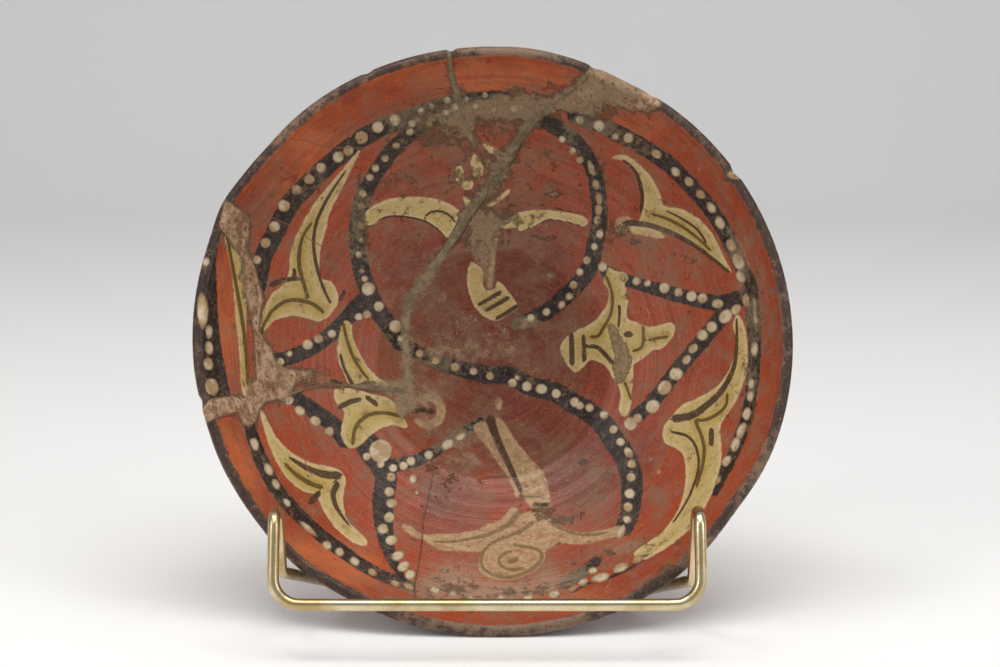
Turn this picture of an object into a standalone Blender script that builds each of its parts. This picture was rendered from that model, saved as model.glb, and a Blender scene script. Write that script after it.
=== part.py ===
"""Painted pottery bowl, mended from sherds, leaning in a stand of bent brass wire.

Metres, +Z up, the bowl opens towards -Y and leans back. The origin is on the table,
under the middle of the whole object's box.
"""
import math

import bpy
import bmesh
from mathutils import Matrix, Vector

# The bowl, upright on its foot
RIM_RADIUS = 0.105
INNER_DEPTH = 0.0615
LIP_THICKNESS = 0.0045
BASE_THICKNESS = 0.008
WALL_AT_BASE = 0.0055
FOOT_RADIUS = 0.0425
FOOT_TAPER = 0.0015
FOOT_RING_WIDTH = 0.0107
FOOT_HOLLOW_DEPTH = 0.0015
FOOT_HOLLOW_SLOPE = 0.003
LEAN_DEG = 21.0

# How far the thrown rim is from round, and where its sherds sit in or out.
# Each row is a place clockwise from the top of the rim, a spread and a shift.
OVAL_SHIFT = 0.00068
OVAL_AXIS_DEG = 135.0
SHERD_SHIFTS = (
    (7.0, 7.0, 0.0004),
    (27.0, 8.0, -0.0009),
    (127.0, 9.0, -0.0013),
    (220.0, 8.0, 0.0010),
    (253.0, 6.0, -0.0004),
    (296.0, 5.0, 0.0011),
    (311.0, 6.0, -0.0006),
)
SHIFT_STARTS_AT = 0.055

# Chips in the rim: place clockwise from the top, length along the rim, bite
RIM_CHIPS = (
    (20.5, 0.0050, 0.0009),
    (33.0, 0.0040, 0.0007),
    (55.7, 0.0060, 0.0013),
    (256.7, 0.0050, 0.0011),
    (334.9, 0.0040, 0.0008),
    (351.8, 0.0030, 0.0014),
)
CHIP_ROUNDNESS = 0.6
CHIP_RUN_DOWN = 0.005

# The wire stand
WIRE_DIAMETER = 0.004
BAR_WIDTH = 0.1414
BAR_HEIGHT = 0.0188
BAR_REACH = 0.023
BAR_BEND = 0.009
HOOK_HEIGHT = 0.0277
HOOK_GAP = 0.011
HOOK_BEND = 0.0046
HOOK_SET_BACK = 0.0075
SEAT_REACH = 0.0245
SEAT_TOE_IN = 0.0009
SEAT_BEND = 0.004
SEAT_SLOPE_DEG = 20.0
SEAT_SPLAY_DEG = 26.0
LANDING_BEND = 0.030
BACK_WIDTH = 0.060
BACK_TOE_IN = 0.003
BACK_LEAN_DEG = 1.5
BACK_BEND = 0.009
REST_BEND = 0.014
REST_PLACE = 0.80
STAND_SHIFT = -0.0017

# Clearance between the bowl and the wire, and how finely round forms are cut
CONTACT_GAP = 0.0003
CONTACT_SAMPLES = 40
SETTLE_ROUNDS = 40
TURN_STEPS = 128
TURN_MERGE = 0.00001
WALL_STEPS = 11
LIP_STEPS = 5
SHARP_EDGE_DEG = 40.0
BEND_STEP_DEG = 12.0
WIRE_ROUNDNESS = 3

# Finishes: colour, roughness and metallic value
RED_SLIP = ((0.34, 0.085, 0.035), 0.35, 0.0)
AGED_BRASS = ((0.62, 0.50, 0.26), 0.28, 1.0)

LEAN = math.radians(LEAN_DEG)
WIRE_RADIUS = WIRE_DIAMETER / 2
BOWL_HEIGHT = INNER_DEPTH + BASE_THICKNESS


def clear_scene():
    for item in list(bpy.data.objects):
        bpy.data.objects.remove(item, do_unlink=True)


def new_collection(name):
    collection = bpy.data.collections.new(name)
    bpy.context.scene.collection.children.link(collection)
    return collection


def new_material(name, color, roughness, metallic):
    material = bpy.data.materials.new(name)
    material.use_nodes = True
    shader = material.node_tree.nodes["Principled BSDF"]
    shader.inputs["Base Color"].default_value = (*color, 1.0)
    shader.inputs["Roughness"].default_value = roughness
    shader.inputs["Metallic"].default_value = metallic
    material.diffuse_color = (*color, 1.0)
    return material


def arc_height(radius, edge_radius, depth):
    """Height above its lowest point of a bowl-shaped arc that is depth deep at edge_radius."""
    sphere = (edge_radius ** 2 + depth ** 2) / (2 * depth)
    return sphere - math.sqrt(sphere ** 2 - radius ** 2)


def bowl_profile():
    """Half section of the bowl, (radius, height), from the inside bottom round to the base."""
    inner_edge = RIM_RADIUS - LIP_THICKNESS
    lip_radius = LIP_THICKNESS / 2
    lip_base = BOWL_HEIGHT - lip_radius
    outer_bottom = BASE_THICKNESS - WALL_AT_BASE
    outer_depth = lip_base - outer_bottom
    inner_depth = lip_base - BASE_THICKNESS
    points = []
    for step in range(WALL_STEPS + 1):
        radius = inner_edge * math.sin(math.pi / 2 * step / WALL_STEPS)
        points.append((radius, BASE_THICKNESS + arc_height(radius, inner_edge, inner_depth)))
    for step in range(1, LIP_STEPS):
        turn = math.pi * step / LIP_STEPS
        points.append((RIM_RADIUS - lip_radius - lip_radius * math.cos(turn),
                       lip_base + lip_radius * math.sin(turn)))
    foot_top = FOOT_RADIUS - FOOT_TAPER
    for step in range(WALL_STEPS - 1):
        share = step / (WALL_STEPS - 2)
        radius = foot_top + (RIM_RADIUS - foot_top) * math.cos(math.pi / 2 * share)
        points.append((radius, outer_bottom + arc_height(radius, RIM_RADIUS, outer_depth)))
    points.append((FOOT_RADIUS, FOOT_TAPER))
    points.append((FOOT_RADIUS - FOOT_TAPER / 2, 0.0))
    hollow_radius = FOOT_RADIUS - FOOT_TAPER / 2 - FOOT_RING_WIDTH
    points.append((hollow_radius, 0.0))
    points.append((hollow_radius - FOOT_HOLLOW_SLOPE, FOOT_HOLLOW_DEPTH))
    points.append((0.0, FOOT_HOLLOW_DEPTH))
    return points


def sherd_shift(angle):
    """Outward shift of the rim at an angle in degrees, clockwise from its top."""
    shift = OVAL_SHIFT * math.cos(2 * math.radians(angle - OVAL_AXIS_DEG))
    for place, spread, amount in SHERD_SHIFTS:
        away = (angle - place + 180.0) % 360.0 - 180.0
        shift += amount * math.exp(-(away / spread) ** 2)
    return shift


def shifted_radius(radius, angle):
    """Radius after the sherds' shift, which fades out towards the foot."""
    share = (radius - SHIFT_STARTS_AT) / (RIM_RADIUS - SHIFT_STARTS_AT)
    share = min(max(share, 0.0), 1.0)
    return radius + share * share * (3 - 2 * share) * sherd_shift(angle)


def clock_angle(x, y):
    """Degrees clockwise from +Y, as the open bowl is seen."""
    return math.degrees(math.atan2(x, y)) % 360.0


def bowl_placement():
    """Turns the upright bowl to its lean, with its lowest point on the table."""
    turn = Matrix.Rotation(math.pi / 2 - LEAN, 4, "X")
    lowest = min((turn @ Vector((0.0, -shifted_radius(radius, 180.0), height))).z
                 for radius, height in bowl_profile())
    lip = turn @ Vector((0.0, -RIM_RADIUS, BOWL_HEIGHT))
    return Matrix.Translation((0.0, -lip.y, -lowest)) @ turn


def turned_mesh(points, name):
    """The profile turned once round the Z axis with a Screw modifier, as a mesh."""
    profile = bpy.data.meshes.new(name + "_profile")
    edges = [(index, index + 1) for index in range(len(points) - 1)]
    profile.from_pydata([(radius, 0.0, height) for radius, height in points], edges, [])
    lathe = bpy.data.objects.new(name + "_lathe", profile)
    bpy.context.scene.collection.objects.link(lathe)
    screw = lathe.modifiers.new("Turn", "SCREW")
    screw.axis = "Z"
    screw.steps = TURN_STEPS
    screw.render_steps = TURN_STEPS
    screw.use_merge_vertices = True
    screw.merge_threshold = TURN_MERGE
    depsgraph = bpy.context.evaluated_depsgraph_get()
    mesh = bpy.data.meshes.new_from_object(lathe.evaluated_get(depsgraph))
    mesh.name = name
    bpy.data.objects.remove(lathe, do_unlink=True)
    return mesh


def make_chip_cutter(name, place, length, bite, collection, parent_matrix):
    """A flattened pebble that bites the outer edge of the rim at one place."""
    pebble = bmesh.new()
    bmesh.ops.create_icosphere(pebble, subdivisions=2, radius=1.0)
    deep = length * CHIP_ROUNDNESS
    scale = Matrix.Diagonal((length / 2, deep, CHIP_RUN_DOWN, 1.0))
    angle = math.radians(place)
    reach = shifted_radius(RIM_RADIUS, place) - bite + deep
    centre = Vector((reach * math.sin(angle), reach * math.cos(angle), BOWL_HEIGHT - bite))
    bmesh.ops.transform(pebble, matrix=scale, verts=pebble.verts)
    bmesh.ops.transform(pebble, matrix=Matrix.Rotation(-angle, 4, "Z"), verts=pebble.verts)
    bmesh.ops.translate(pebble, vec=centre, verts=pebble.verts)
    mesh = bpy.data.meshes.new(name)
    pebble.to_mesh(mesh)
    pebble.free()
    cutter = bpy.data.objects.new(name, mesh)
    cutter.matrix_world = parent_matrix
    cutter.hide_render = True
    cutter.display_type = "WIRE"
    collection.objects.link(cutter)
    return cutter


def make_bowl(placement, parts, cutters, material):
    mesh = turned_mesh(bowl_profile(), "bowl")
    for vertex in mesh.vertices:
        radius = math.hypot(vertex.co.x, vertex.co.y)
        if radius > SHIFT_STARTS_AT:
            stretch = shifted_radius(radius, clock_angle(vertex.co.x, vertex.co.y)) / radius
            vertex.co.x *= stretch
            vertex.co.y *= stretch
    mesh.materials.clear()
    mesh.materials.append(material)
    mesh.shade_smooth()
    mesh.set_sharp_from_angle(angle=math.radians(SHARP_EDGE_DEG))
    bowl = bpy.data.objects.new("bowl", mesh)
    bowl.matrix_world = placement
    parts.objects.link(bowl)
    for index, (place, length, bite) in enumerate(RIM_CHIPS):
        cutter = make_chip_cutter(f"chip_cutter_{index + 1}", place, length, bite, cutters, placement)
        cut = bowl.modifiers.new(f"Chip {index + 1}", "BOOLEAN")
        cut.operation = "DIFFERENCE"
        cut.object = cutter
    return bowl


def segment_distance(point, start, end):
    """Distance in a plane from a point to the segment between two others."""
    along = (end[0] - start[0], end[1] - start[1])
    size = along[0] ** 2 + along[1] ** 2
    share = 0.0
    if size > 0.0:
        share = ((point[0] - start[0]) * along[0] + (point[1] - start[1]) * along[1]) / size
        share = min(max(share, 0.0), 1.0)
    near = (start[0] + share * along[0], start[1] + share * along[1])
    return math.hypot(point[0] - near[0], point[1] - near[1])


def bowl_clearance(point, to_bowl, profile):
    """Distance from a point outside the bowl to its surface, found in its half section."""
    local = to_bowl @ point
    radius = math.hypot(local.x, local.y)
    angle = clock_angle(local.x, local.y)
    radius -= shifted_radius(radius, angle) - radius
    return min(segment_distance((radius, local.z), profile[index], profile[index + 1])
               for index in range(len(profile) - 1))


def run_clearance(start, end, to_bowl, profile):
    """Smallest distance from the bowl to a straight run of wire's centre line."""
    return min(bowl_clearance(start.lerp(end, index / CONTACT_SAMPLES), to_bowl, profile)
               for index in range(CONTACT_SAMPLES + 1))


def settle(low, high, clearance_at):
    """The value nearest to high whose clearance is still that of a wire beside the bowl."""
    wanted = WIRE_RADIUS + CONTACT_GAP
    for _ in range(SETTLE_ROUNDS):
        middle = (low + high) / 2
        if clearance_at(middle) > wanted:
            low = middle
        else:
            high = middle
    return low


def seat_run(side, height):
    """Centre line of the wire under the rim, from the hook down to the table."""
    start = Vector((side * (BAR_WIDTH / 2 - SEAT_TOE_IN) + STAND_SHIFT, SEAT_REACH - BAR_REACH, height))
    slope = math.radians(SEAT_SLOPE_DEG)
    splay = math.radians(SEAT_SPLAY_DEG)
    length = (height - WIRE_RADIUS) / math.tan(slope)
    end = start + Vector((-side * length * math.sin(splay), length * math.cos(splay), WIRE_RADIUS - height))
    return start, end


def half_stand(side, to_bowl, profile):
    """Corners of one half of the wire, from the front bar round to the back rest."""
    top = BAR_HEIGHT + HOOK_HEIGHT

    def seat_clearance(height):
        return run_clearance(*seat_run(side, height), to_bowl, profile)

    seat_height = settle(WIRE_DIAMETER, top, seat_clearance)
    seat, landing = seat_run(side, seat_height)
    foot = to_bowl.inverted() @ Vector((0.0, REST_PLACE * FOOT_RADIUS, 0.0))
    rest_height = foot.z
    half_rest = BACK_WIDTH / 2 - BACK_TOE_IN

    def rest_clearance(reach):
        start = Vector((STAND_SHIFT - half_rest, -reach, rest_height))
        end = Vector((STAND_SHIFT + half_rest, -reach, rest_height))
        return run_clearance(start, end, to_bowl, profile)

    rest_y = -settle(-foot.y - BOWL_HEIGHT, -foot.y, rest_clearance)
    back_y = rest_y + (rest_height - WIRE_RADIUS) * math.tan(math.radians(BACK_LEAN_DEG))
    outer = side * BAR_WIDTH / 2 + STAND_SHIFT
    hook_y = HOOK_SET_BACK - BAR_REACH
    hook_x = outer - side * SEAT_TOE_IN / 2
    return [
        (Vector((outer, -BAR_REACH, BAR_HEIGHT)), BAR_BEND),
        (Vector((hook_x, hook_y, top)), HOOK_BEND),
        (Vector((hook_x, hook_y + HOOK_GAP, top)), HOOK_BEND),
        (seat, SEAT_BEND),
        (landing, LANDING_BEND),
        (Vector((side * BACK_WIDTH / 2 + STAND_SHIFT, back_y, WIRE_RADIUS)), BACK_BEND),
        (Vector((side * half_rest + STAND_SHIFT, rest_y, rest_height)), REST_BEND),
    ]


def bend_points(before, corner, after, radius):
    """Points of the round bend that a wire takes at a corner."""
    back = (before - corner).normalized()
    forth = (after - corner).normalized()
    half = back.angle(forth) / 2
    centre = corner + (back + forth).normalized() * radius / math.sin(half)
    start = corner + back * radius / math.tan(half) - centre
    end = corner + forth * radius / math.tan(half) - centre
    turn = start.angle(end)
    axis = start.cross(end).normalized()
    count = max(2, math.ceil(math.degrees(turn) / BEND_STEP_DEG))
    return [centre + Matrix.Rotation(turn * index / count, 3, axis) @ start for index in range(count + 1)]


def make_stand(placement, parts, material):
    """One closed loop of round wire, bent at its corners."""
    to_bowl = placement.inverted()
    profile = bowl_profile()
    left = half_stand(-1, to_bowl, profile)
    right = half_stand(1, to_bowl, profile)
    corners = left + right[::-1]
    points = []
    for index, (corner, radius) in enumerate(corners):
        before = corners[index - 1][0]
        after = corners[(index + 1) % len(corners)][0]
        points += bend_points(before, corner, after, radius)
    curve = bpy.data.curves.new("wire_route", "CURVE")
    curve.dimensions = "3D"
    curve.bevel_depth = WIRE_RADIUS
    curve.bevel_resolution = WIRE_ROUNDNESS
    spline = curve.splines.new("POLY")
    spline.points.add(len(points) - 1)
    for target, point in zip(spline.points, points):
        target.co = (*point, 1.0)
    spline.use_cyclic_u = True
    curve.materials.append(material)
    stand = bpy.data.objects.new("wire_stand", curve)
    parts.objects.link(stand)
    return stand


def centre_on_table(pieces, helpers, name):
    """Parents everything to an empty that puts the middle of the pieces' box over the origin."""
    bpy.context.view_layer.update()
    depsgraph = bpy.context.evaluated_depsgraph_get()
    corners = []
    for piece in pieces:
        mesh = piece.evaluated_get(depsgraph).to_mesh()
        corners += [piece.matrix_world @ vertex.co for vertex in mesh.vertices]
        piece.evaluated_get(depsgraph).to_mesh_clear()
    low = [min(corner[axis] for corner in corners) for axis in range(3)]
    high = [max(corner[axis] for corner in corners) for axis in range(3)]
    middle = Vector(((low[0] + high[0]) / 2, (low[1] + high[1]) / 2, low[2]))
    holder = bpy.data.objects.new(name, None)
    bpy.context.scene.collection.objects.link(holder)
    for item in pieces + helpers:
        item.parent = holder
    holder.location = -middle


def main():
    clear_scene()
    parts = new_collection("pottery_bowl")
    cutters = new_collection("cutters")
    slip = new_material("red slip", *RED_SLIP)
    brass = new_material("aged brass", *AGED_BRASS)
    placement = bowl_placement()
    bowl = make_bowl(placement, parts, cutters, slip)
    stand = make_stand(placement, parts, brass)
    centre_on_table([bowl, stand], list(cutters.objects), "table_point")


main()
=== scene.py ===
"""Finish of a painted pottery bowl in its wire stand, laid over the part's own solids.

Metres, +Z up, in the part's frame. The bowl's painting was traced from a view of the bowl
1000 pixels wide and 667 high, so its strokes are given in the pixels of that view.
"""
import math

import bmesh
import bpy
import numpy as np
from mathutils import Matrix, Vector


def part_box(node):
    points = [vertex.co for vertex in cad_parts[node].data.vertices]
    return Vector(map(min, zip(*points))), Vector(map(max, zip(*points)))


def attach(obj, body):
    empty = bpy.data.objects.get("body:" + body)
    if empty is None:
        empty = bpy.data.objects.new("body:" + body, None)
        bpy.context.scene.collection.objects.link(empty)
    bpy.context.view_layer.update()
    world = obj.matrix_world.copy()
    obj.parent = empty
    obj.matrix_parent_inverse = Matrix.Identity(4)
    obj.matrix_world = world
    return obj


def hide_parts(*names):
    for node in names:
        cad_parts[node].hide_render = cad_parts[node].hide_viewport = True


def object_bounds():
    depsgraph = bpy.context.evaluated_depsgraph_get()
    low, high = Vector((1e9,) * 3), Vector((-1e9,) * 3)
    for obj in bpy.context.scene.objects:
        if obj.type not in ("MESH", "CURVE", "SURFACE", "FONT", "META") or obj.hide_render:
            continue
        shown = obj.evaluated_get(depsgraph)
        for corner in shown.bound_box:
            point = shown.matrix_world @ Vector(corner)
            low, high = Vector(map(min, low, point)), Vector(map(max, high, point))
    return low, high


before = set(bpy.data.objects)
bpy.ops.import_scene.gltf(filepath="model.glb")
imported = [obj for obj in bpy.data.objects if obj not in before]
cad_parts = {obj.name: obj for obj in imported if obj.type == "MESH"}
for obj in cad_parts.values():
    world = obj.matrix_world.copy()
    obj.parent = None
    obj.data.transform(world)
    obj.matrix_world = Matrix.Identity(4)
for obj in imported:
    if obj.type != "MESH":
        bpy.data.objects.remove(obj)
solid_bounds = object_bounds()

# The view. It looks 10 degrees down at the bowl, which leans back 21 degrees, from about
# 0.8 m away. The painting's strokes are laid on the clay along this view's lines of sight.
VIEW_WIDTH = 1000
VIEW_HEIGHT = 667
VIEW_PLACE = (0.0026, -0.7985, 0.2377)
VIEW_PITCH = math.radians(10.0)
VIEW_FOCAL = 2293.5
SENSOR_WIDTH = 36.0

camera_data = bpy.data.cameras.new("view")
camera_data.sensor_width = SENSOR_WIDTH
camera_data.lens = VIEW_FOCAL * SENSOR_WIDTH / VIEW_WIDTH
camera = bpy.data.objects.new("view", camera_data)
camera.location = VIEW_PLACE
camera.rotation_euler = (math.pi / 2 - VIEW_PITCH, 0.0, 0.0)
bpy.context.scene.collection.objects.link(camera)
bpy.context.scene.camera = camera


def seen_at(points):
    """Pixel column and row at which the view shows each of the points."""
    away = points - np.array(VIEW_PLACE)
    forward = np.array((0.0, math.cos(VIEW_PITCH), -math.sin(VIEW_PITCH)))
    upward = np.array((0.0, math.sin(VIEW_PITCH), math.cos(VIEW_PITCH)))
    depth = away @ forward
    columns = VIEW_WIDTH / 2 + VIEW_FOCAL * away[:, 0] / depth
    rows = VIEW_HEIGHT / 2 - VIEW_FOCAL * (away @ upward) / depth
    return np.stack((columns, rows), axis=1)


# The bowl. Thrown red earthenware, turned on a wheel and trimmed below to a low ring foot,
# a shade oval and mended from about a dozen sherds that sit a little in or out at the rim.
RIM_RADIUS = 0.105
INNER_DEPTH = 0.0615
LIP_THICKNESS = 0.0045
BASE_THICKNESS = 0.008
WALL_AT_BASE = 0.0055
FOOT_RADIUS = 0.0425
FOOT_TAPER = 0.0015
FOOT_RING_WIDTH = 0.0107
FOOT_HOLLOW_DEPTH = 0.0015
FOOT_HOLLOW_SLOPE = 0.003
LEAN = math.radians(21.0)
BOWL_HEIGHT = INNER_DEPTH + BASE_THICKNESS
INNER_EDGE = RIM_RADIUS - LIP_THICKNESS
LIP_BASE = BOWL_HEIGHT - LIP_THICKNESS / 2
OVAL_SHIFT = 0.00068
OVAL_AXIS_DEG = 135.0
# Each sherd that sits out or in: its angle round the rim, its spread in degrees and its shift.
SHERD_SHIFTS = (
    (7.0, 7.0, 0.0004),
    (27.0, 8.0, -0.0009),
    (127.0, 9.0, -0.0013),
    (220.0, 8.0, 0.0010),
    (253.0, 6.0, -0.0004),
    (296.0, 5.0, 0.0011),
    (311.0, 6.0, -0.0006),
)
SHIFT_STARTS_AT = 0.055
# Each chip: its angle round the rim, its length and its depth.
RIM_CHIPS = (
    (20.5, 0.0050, 0.0009),
    (33.0, 0.0040, 0.0007),
    (55.7, 0.0060, 0.0013),
    (256.7, 0.0050, 0.0011),
    (334.9, 0.0040, 0.0008),
    (351.8, 0.0030, 0.0014),
)
CHIP_RUN_DOWN = 0.005
TURN_STEPS = 600
INSIDE_RINGS = 120
LIP_RINGS = 8
OUTSIDE_RINGS = 20
FOOT_EDGE = 0.0004
MICRON = 1e-6
SPHERE_TOLERANCE = 1e-5


def sphere_radius(edge_radius, depth):
    """Radius of the sphere whose cap is depth deep at edge_radius."""
    return (edge_radius ** 2 + depth ** 2) / (2 * depth)


def arc_height(radius, edge_radius, depth):
    """Height above its lowest point of a bowl-shaped arc that is depth deep at edge_radius."""
    sphere = sphere_radius(edge_radius, depth)
    return sphere - math.sqrt(sphere ** 2 - radius ** 2)


HOLLOW_DEPTH = LIP_BASE - BASE_THICKNESS
INNER_SPHERE = sphere_radius(INNER_EDGE, HOLLOW_DEPTH)


def bowl_profile():
    """Half section of the bowl, (radius, height), from the inside bottom round to the base."""
    widest = math.asin(INNER_EDGE / INNER_SPHERE)
    points = []
    for step in range(INSIDE_RINGS + 1):
        radius = INNER_SPHERE * math.sin(widest * step / INSIDE_RINGS)
        points.append((radius, BASE_THICKNESS + arc_height(radius, INNER_EDGE, HOLLOW_DEPTH)))
    for step in range(1, LIP_RINGS):
        turn = math.pi * step / LIP_RINGS
        points.append((RIM_RADIUS - LIP_THICKNESS / 2 * (1 + math.cos(turn)),
                       LIP_BASE + LIP_THICKNESS / 2 * math.sin(turn)))
    foot_top = FOOT_RADIUS - FOOT_TAPER
    outer_bottom = BASE_THICKNESS - WALL_AT_BASE
    for step in range(OUTSIDE_RINGS + 1):
        radius = foot_top + (RIM_RADIUS - foot_top) * math.cos(math.pi / 2 * step / OUTSIDE_RINGS)
        points.append((radius, outer_bottom + arc_height(radius, RIM_RADIUS, LIP_BASE - outer_bottom)))
    ring_outside = FOOT_RADIUS - FOOT_TAPER / 2
    ring_inside = ring_outside - FOOT_RING_WIDTH
    hollow_edge = ring_inside - FOOT_HOLLOW_SLOPE
    points += [
        (FOOT_RADIUS, FOOT_TAPER),
        (FOOT_RADIUS, FOOT_TAPER - FOOT_EDGE),
        (ring_outside, 0.0),
        ((ring_outside + ring_inside) / 2, 0.0),
        (ring_inside, 0.0),
        (ring_inside - FOOT_EDGE, FOOT_EDGE / 2),
        (hollow_edge, FOOT_HOLLOW_DEPTH),
        (hollow_edge - FOOT_EDGE, FOOT_HOLLOW_DEPTH),
        (hollow_edge / 2, FOOT_HOLLOW_DEPTH),
        (0.0, FOOT_HOLLOW_DEPTH),
    ]
    return points


def turned(points, steps):
    """The half section spun once round the Z axis into a closed skin."""
    skin = bmesh.new()
    ring = [skin.verts.new((radius, 0.0, height)) for radius, height in points]
    edges = [skin.edges.new(pair) for pair in zip(ring, ring[1:])]
    bmesh.ops.spin(skin, geom=ring + edges, cent=(0.0, 0.0, 0.0), axis=(0.0, 0.0, 1.0),
                   angle=2 * math.pi, steps=steps, use_merge=True, use_duplicate=False)
    bmesh.ops.remove_doubles(skin, verts=skin.verts, dist=MICRON)
    bmesh.ops.recalc_face_normals(skin, faces=skin.faces)
    return skin


def degrees_from(angles, angle):
    """Degrees from an angle to each of the others, the short way round."""
    return (angles - angle + 180.0) % 360.0 - 180.0


def sherd_shift(angles):
    """Outward shift of the rim at angles in degrees, clockwise from its top."""
    shift = OVAL_SHIFT * np.cos(2 * np.radians(angles - OVAL_AXIS_DEG))
    for angle, spread, amount in SHERD_SHIFTS:
        shift = shift + amount * np.exp(-(degrees_from(angles, angle) / spread) ** 2)
    return shift


bowl_skin = turned(bowl_profile(), TURN_STEPS)
clay = np.array([tuple(vertex.co) for vertex in bowl_skin.verts])
off_axis = np.hypot(clay[:, 0], clay[:, 1])
clock = np.degrees(np.arctan2(clay[:, 0], clay[:, 1])) % 360.0
sphere_middle = np.array((0.0, 0.0, BASE_THICKNESS + INNER_SPHERE))
from_middle = np.linalg.norm(clay - sphere_middle, axis=1)
on_sphere = np.abs(from_middle - INNER_SPHERE) < SPHERE_TOLERANCE
on_inside = on_sphere & (off_axis <= INNER_EDGE + MICRON)
on_lip = clay[:, 2] > LIP_BASE - MICRON
outwards = np.clip((off_axis - SHIFT_STARTS_AT) / (RIM_RADIUS - SHIFT_STARTS_AT), 0.0, 1.0)
moved = off_axis + outwards * outwards * (3 - 2 * outwards) * sherd_shift(clock)
for angle, length, bite in RIM_CHIPS:
    away = np.radians(degrees_from(clock, angle)) * RIM_RADIUS
    along = np.clip(1 - (2 * away / length) ** 2, 0.0, 1.0)
    down = np.clip(1 - (BOWL_HEIGHT - clay[:, 2]) / CHIP_RUN_DOWN, 0.0, 1.0)
    outer = np.clip((off_axis - INNER_EDGE) / LIP_THICKNESS, 0.0, 1.0)
    moved -= bite * along * down * outer
stretch = np.where(off_axis > MICRON, moved / np.maximum(off_axis, MICRON), 1.0)
clay[:, :2] *= stretch[:, None]

# The bowl's place comes from its solid: it leans on the table with its lowest point down.
lean_turn = np.array(Matrix.Rotation(math.pi / 2 - LEAN, 3, "X"))
leaning = clay @ lean_turn.T
bowl_low, bowl_high = (np.array(corner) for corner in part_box("bowl"))
lean_place = np.array((
    (bowl_low[0] + bowl_high[0] - leaning[:, 0].min() - leaning[:, 0].max()) / 2,
    bowl_high[1] - leaning[:, 1].max(),
    bowl_low[2] - leaning[:, 2].min(),
))
leaning += lean_place
pixels = seen_at(leaning)
painted = on_inside | on_lip

# The ring. A black band a finger's width below the rim, dotted with pale slip while damp. It
# fades out at the bottom under lime. Each kind of mark is kept on the clay as a distance in
# view pixels to its edge, below zero inside the mark, and the finish turns it into slip.
RING_LEFT = ((258, 285), (263, 258), (277, 229), (290, 204), (306, 186), (325, 168), (344, 152), (366, 136),
             (383, 127), (400, 121), (421, 113), (441, 106), (463, 101), (490, 98), (507, 98))
RING_LEFT_WIDTHS = (18, 19, 19, 18, 17, 13)
RING_LEFT_BEADS = (
    (257, 260, 5), (265.6, 243, 5.5), (274.6, 226.6, 6), (283.9, 205.8, 6.5), (296.6, 189.6, 5.5),
    (309.1, 179.4, 5.5), (320.8, 167.6, 5.5), (338.2, 156.9, 6), (348.4, 150.8, 5.5), (361.6, 137.5, 7),
    (377.8, 127.3, 6.5), (395.4, 119.9, 6.5), (421.3, 111.2, 4), (431.6, 106.1, 3.5), (447.7, 100, 4),
    (466.8, 98.9, 3), (484.9, 95.1, 3.5), (505.5, 97.9, 4),
)
RING_RIGHT = ((575, 116), (601, 126), (624, 136.5), (646, 149), (666, 162), (681, 176), (696, 192),
              (710, 208.5), (722, 227), (732, 246.5), (743, 270.6), (750, 286), (753, 316.5), (754.7, 347),
              (753.6, 370), (751.3, 393), (747.5, 416), (740.6, 436), (731.4, 457.4), (722, 475.7),
              (714, 491))
RING_RIGHT_WIDTHS = (16, 17, 16, 15, 14, 13, 12, 11)
RING_RIGHT_BEADS = (
    (579.9, 119.7, 4.5), (599, 125.8, 6), (615.6, 136.5, 4), (628.4, 138.1, 5.5), (656.4, 154.1, 4.5, 6),
    (675.6, 171.7, 4.5, 5.5), (689, 181.7, 4.5, 6), (700.4, 194.2, 4.5, 6), (711.2, 207.7, 4.5, 6.5),
    (720, 223, 5, 7), (731, 245, 5, 7), (738.4, 262, 6, 9), (740.6, 277, 4.5, 7), (746, 300.5, 4, 7),
    (755, 314, 2.5, 17), (754.4, 348.7, 4, 8), (751.3, 384, 3.5, 6), (750.3, 396, 4, 6),
    (746.7, 413.8, 4.5, 7), (741.4, 430.6, 4.5, 9), (735.3, 444.4, 4.5, 8), (726.8, 461.2, 4.5, 6.5),
    (718.4, 480.4, 2.5, 5),
)
RING_FOOT = ((565, 583), (577.5, 576), (590, 567), (597, 561))
RING_FOOT_WIDTHS = (12, 10)
RING_FOOT_EDGE = ((572, 592), (590.6, 583), (610.5, 577), (628, 569), (643, 560), (652, 553))
RING_FOOT_EDGE_WIDTHS = (2, 3.5, 2)
RING_FOOT_BEADS = (
    (573, 588.3, 3, 5.5), (583, 582.2, 3.5, 5.5), (600.6, 577.6, 4.8, 9.5), (620.5, 567.6, 4.8, 8.5),
    (638, 559.2, 4, 6), (592.9, 570.7, 4, 5),
)
RING_BOTTOM_BEADS = (
    (435, 590, 4, 5), (453, 594, 3.6, 4.6), (470, 597, 3.6, 4.6), (500, 598.6, 3.6, 4.6),
    (528, 597.6, 3.6, 5), (554, 594, 4, 6),
)
RING_LOWER_LEFT = ((250, 427), (253, 437), (258.9, 454.3), (264.8, 467.5), (272.1, 482.1), (281, 495.3),
                   (292.7, 508.6), (305.9, 521.8), (319.1, 533.5), (332.3, 543.8), (348.4, 555.5),
                   (363.1, 565.8), (380.7, 575.3), (398.3, 581.9), (411.5, 587))
RING_LOWER_LEFT_WIDTHS = (12, 14, 14, 13.5, 13, 12, 10)
RING_LOWER_LEFT_BEADS = (
    (254.5, 444, 4.4, 7), (268.8, 469.7, 4.4, 7), (275.8, 484.3, 4, 6), (287.1, 502.7, 3.5, 5.5),
    (308.5, 529, 3.2, 11.5), (327.2, 545.2, 4.5, 5.2), (339.6, 552.1, 4.5, 5.2), (354.6, 561.4, 4.4, 5.6),
    (372.3, 572.4, 3.8, 5.2), (395.4, 583.4, 3.4, 5.2), (408.6, 586.3, 3.3, 6),
)
RING_WORN = ((582, 577, 22, 14, 0.35), (590, 120, 26, 12, 0.30), (755, 320, 9, 26, 0.30))
OUT_OF_REACH = 30.0
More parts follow.
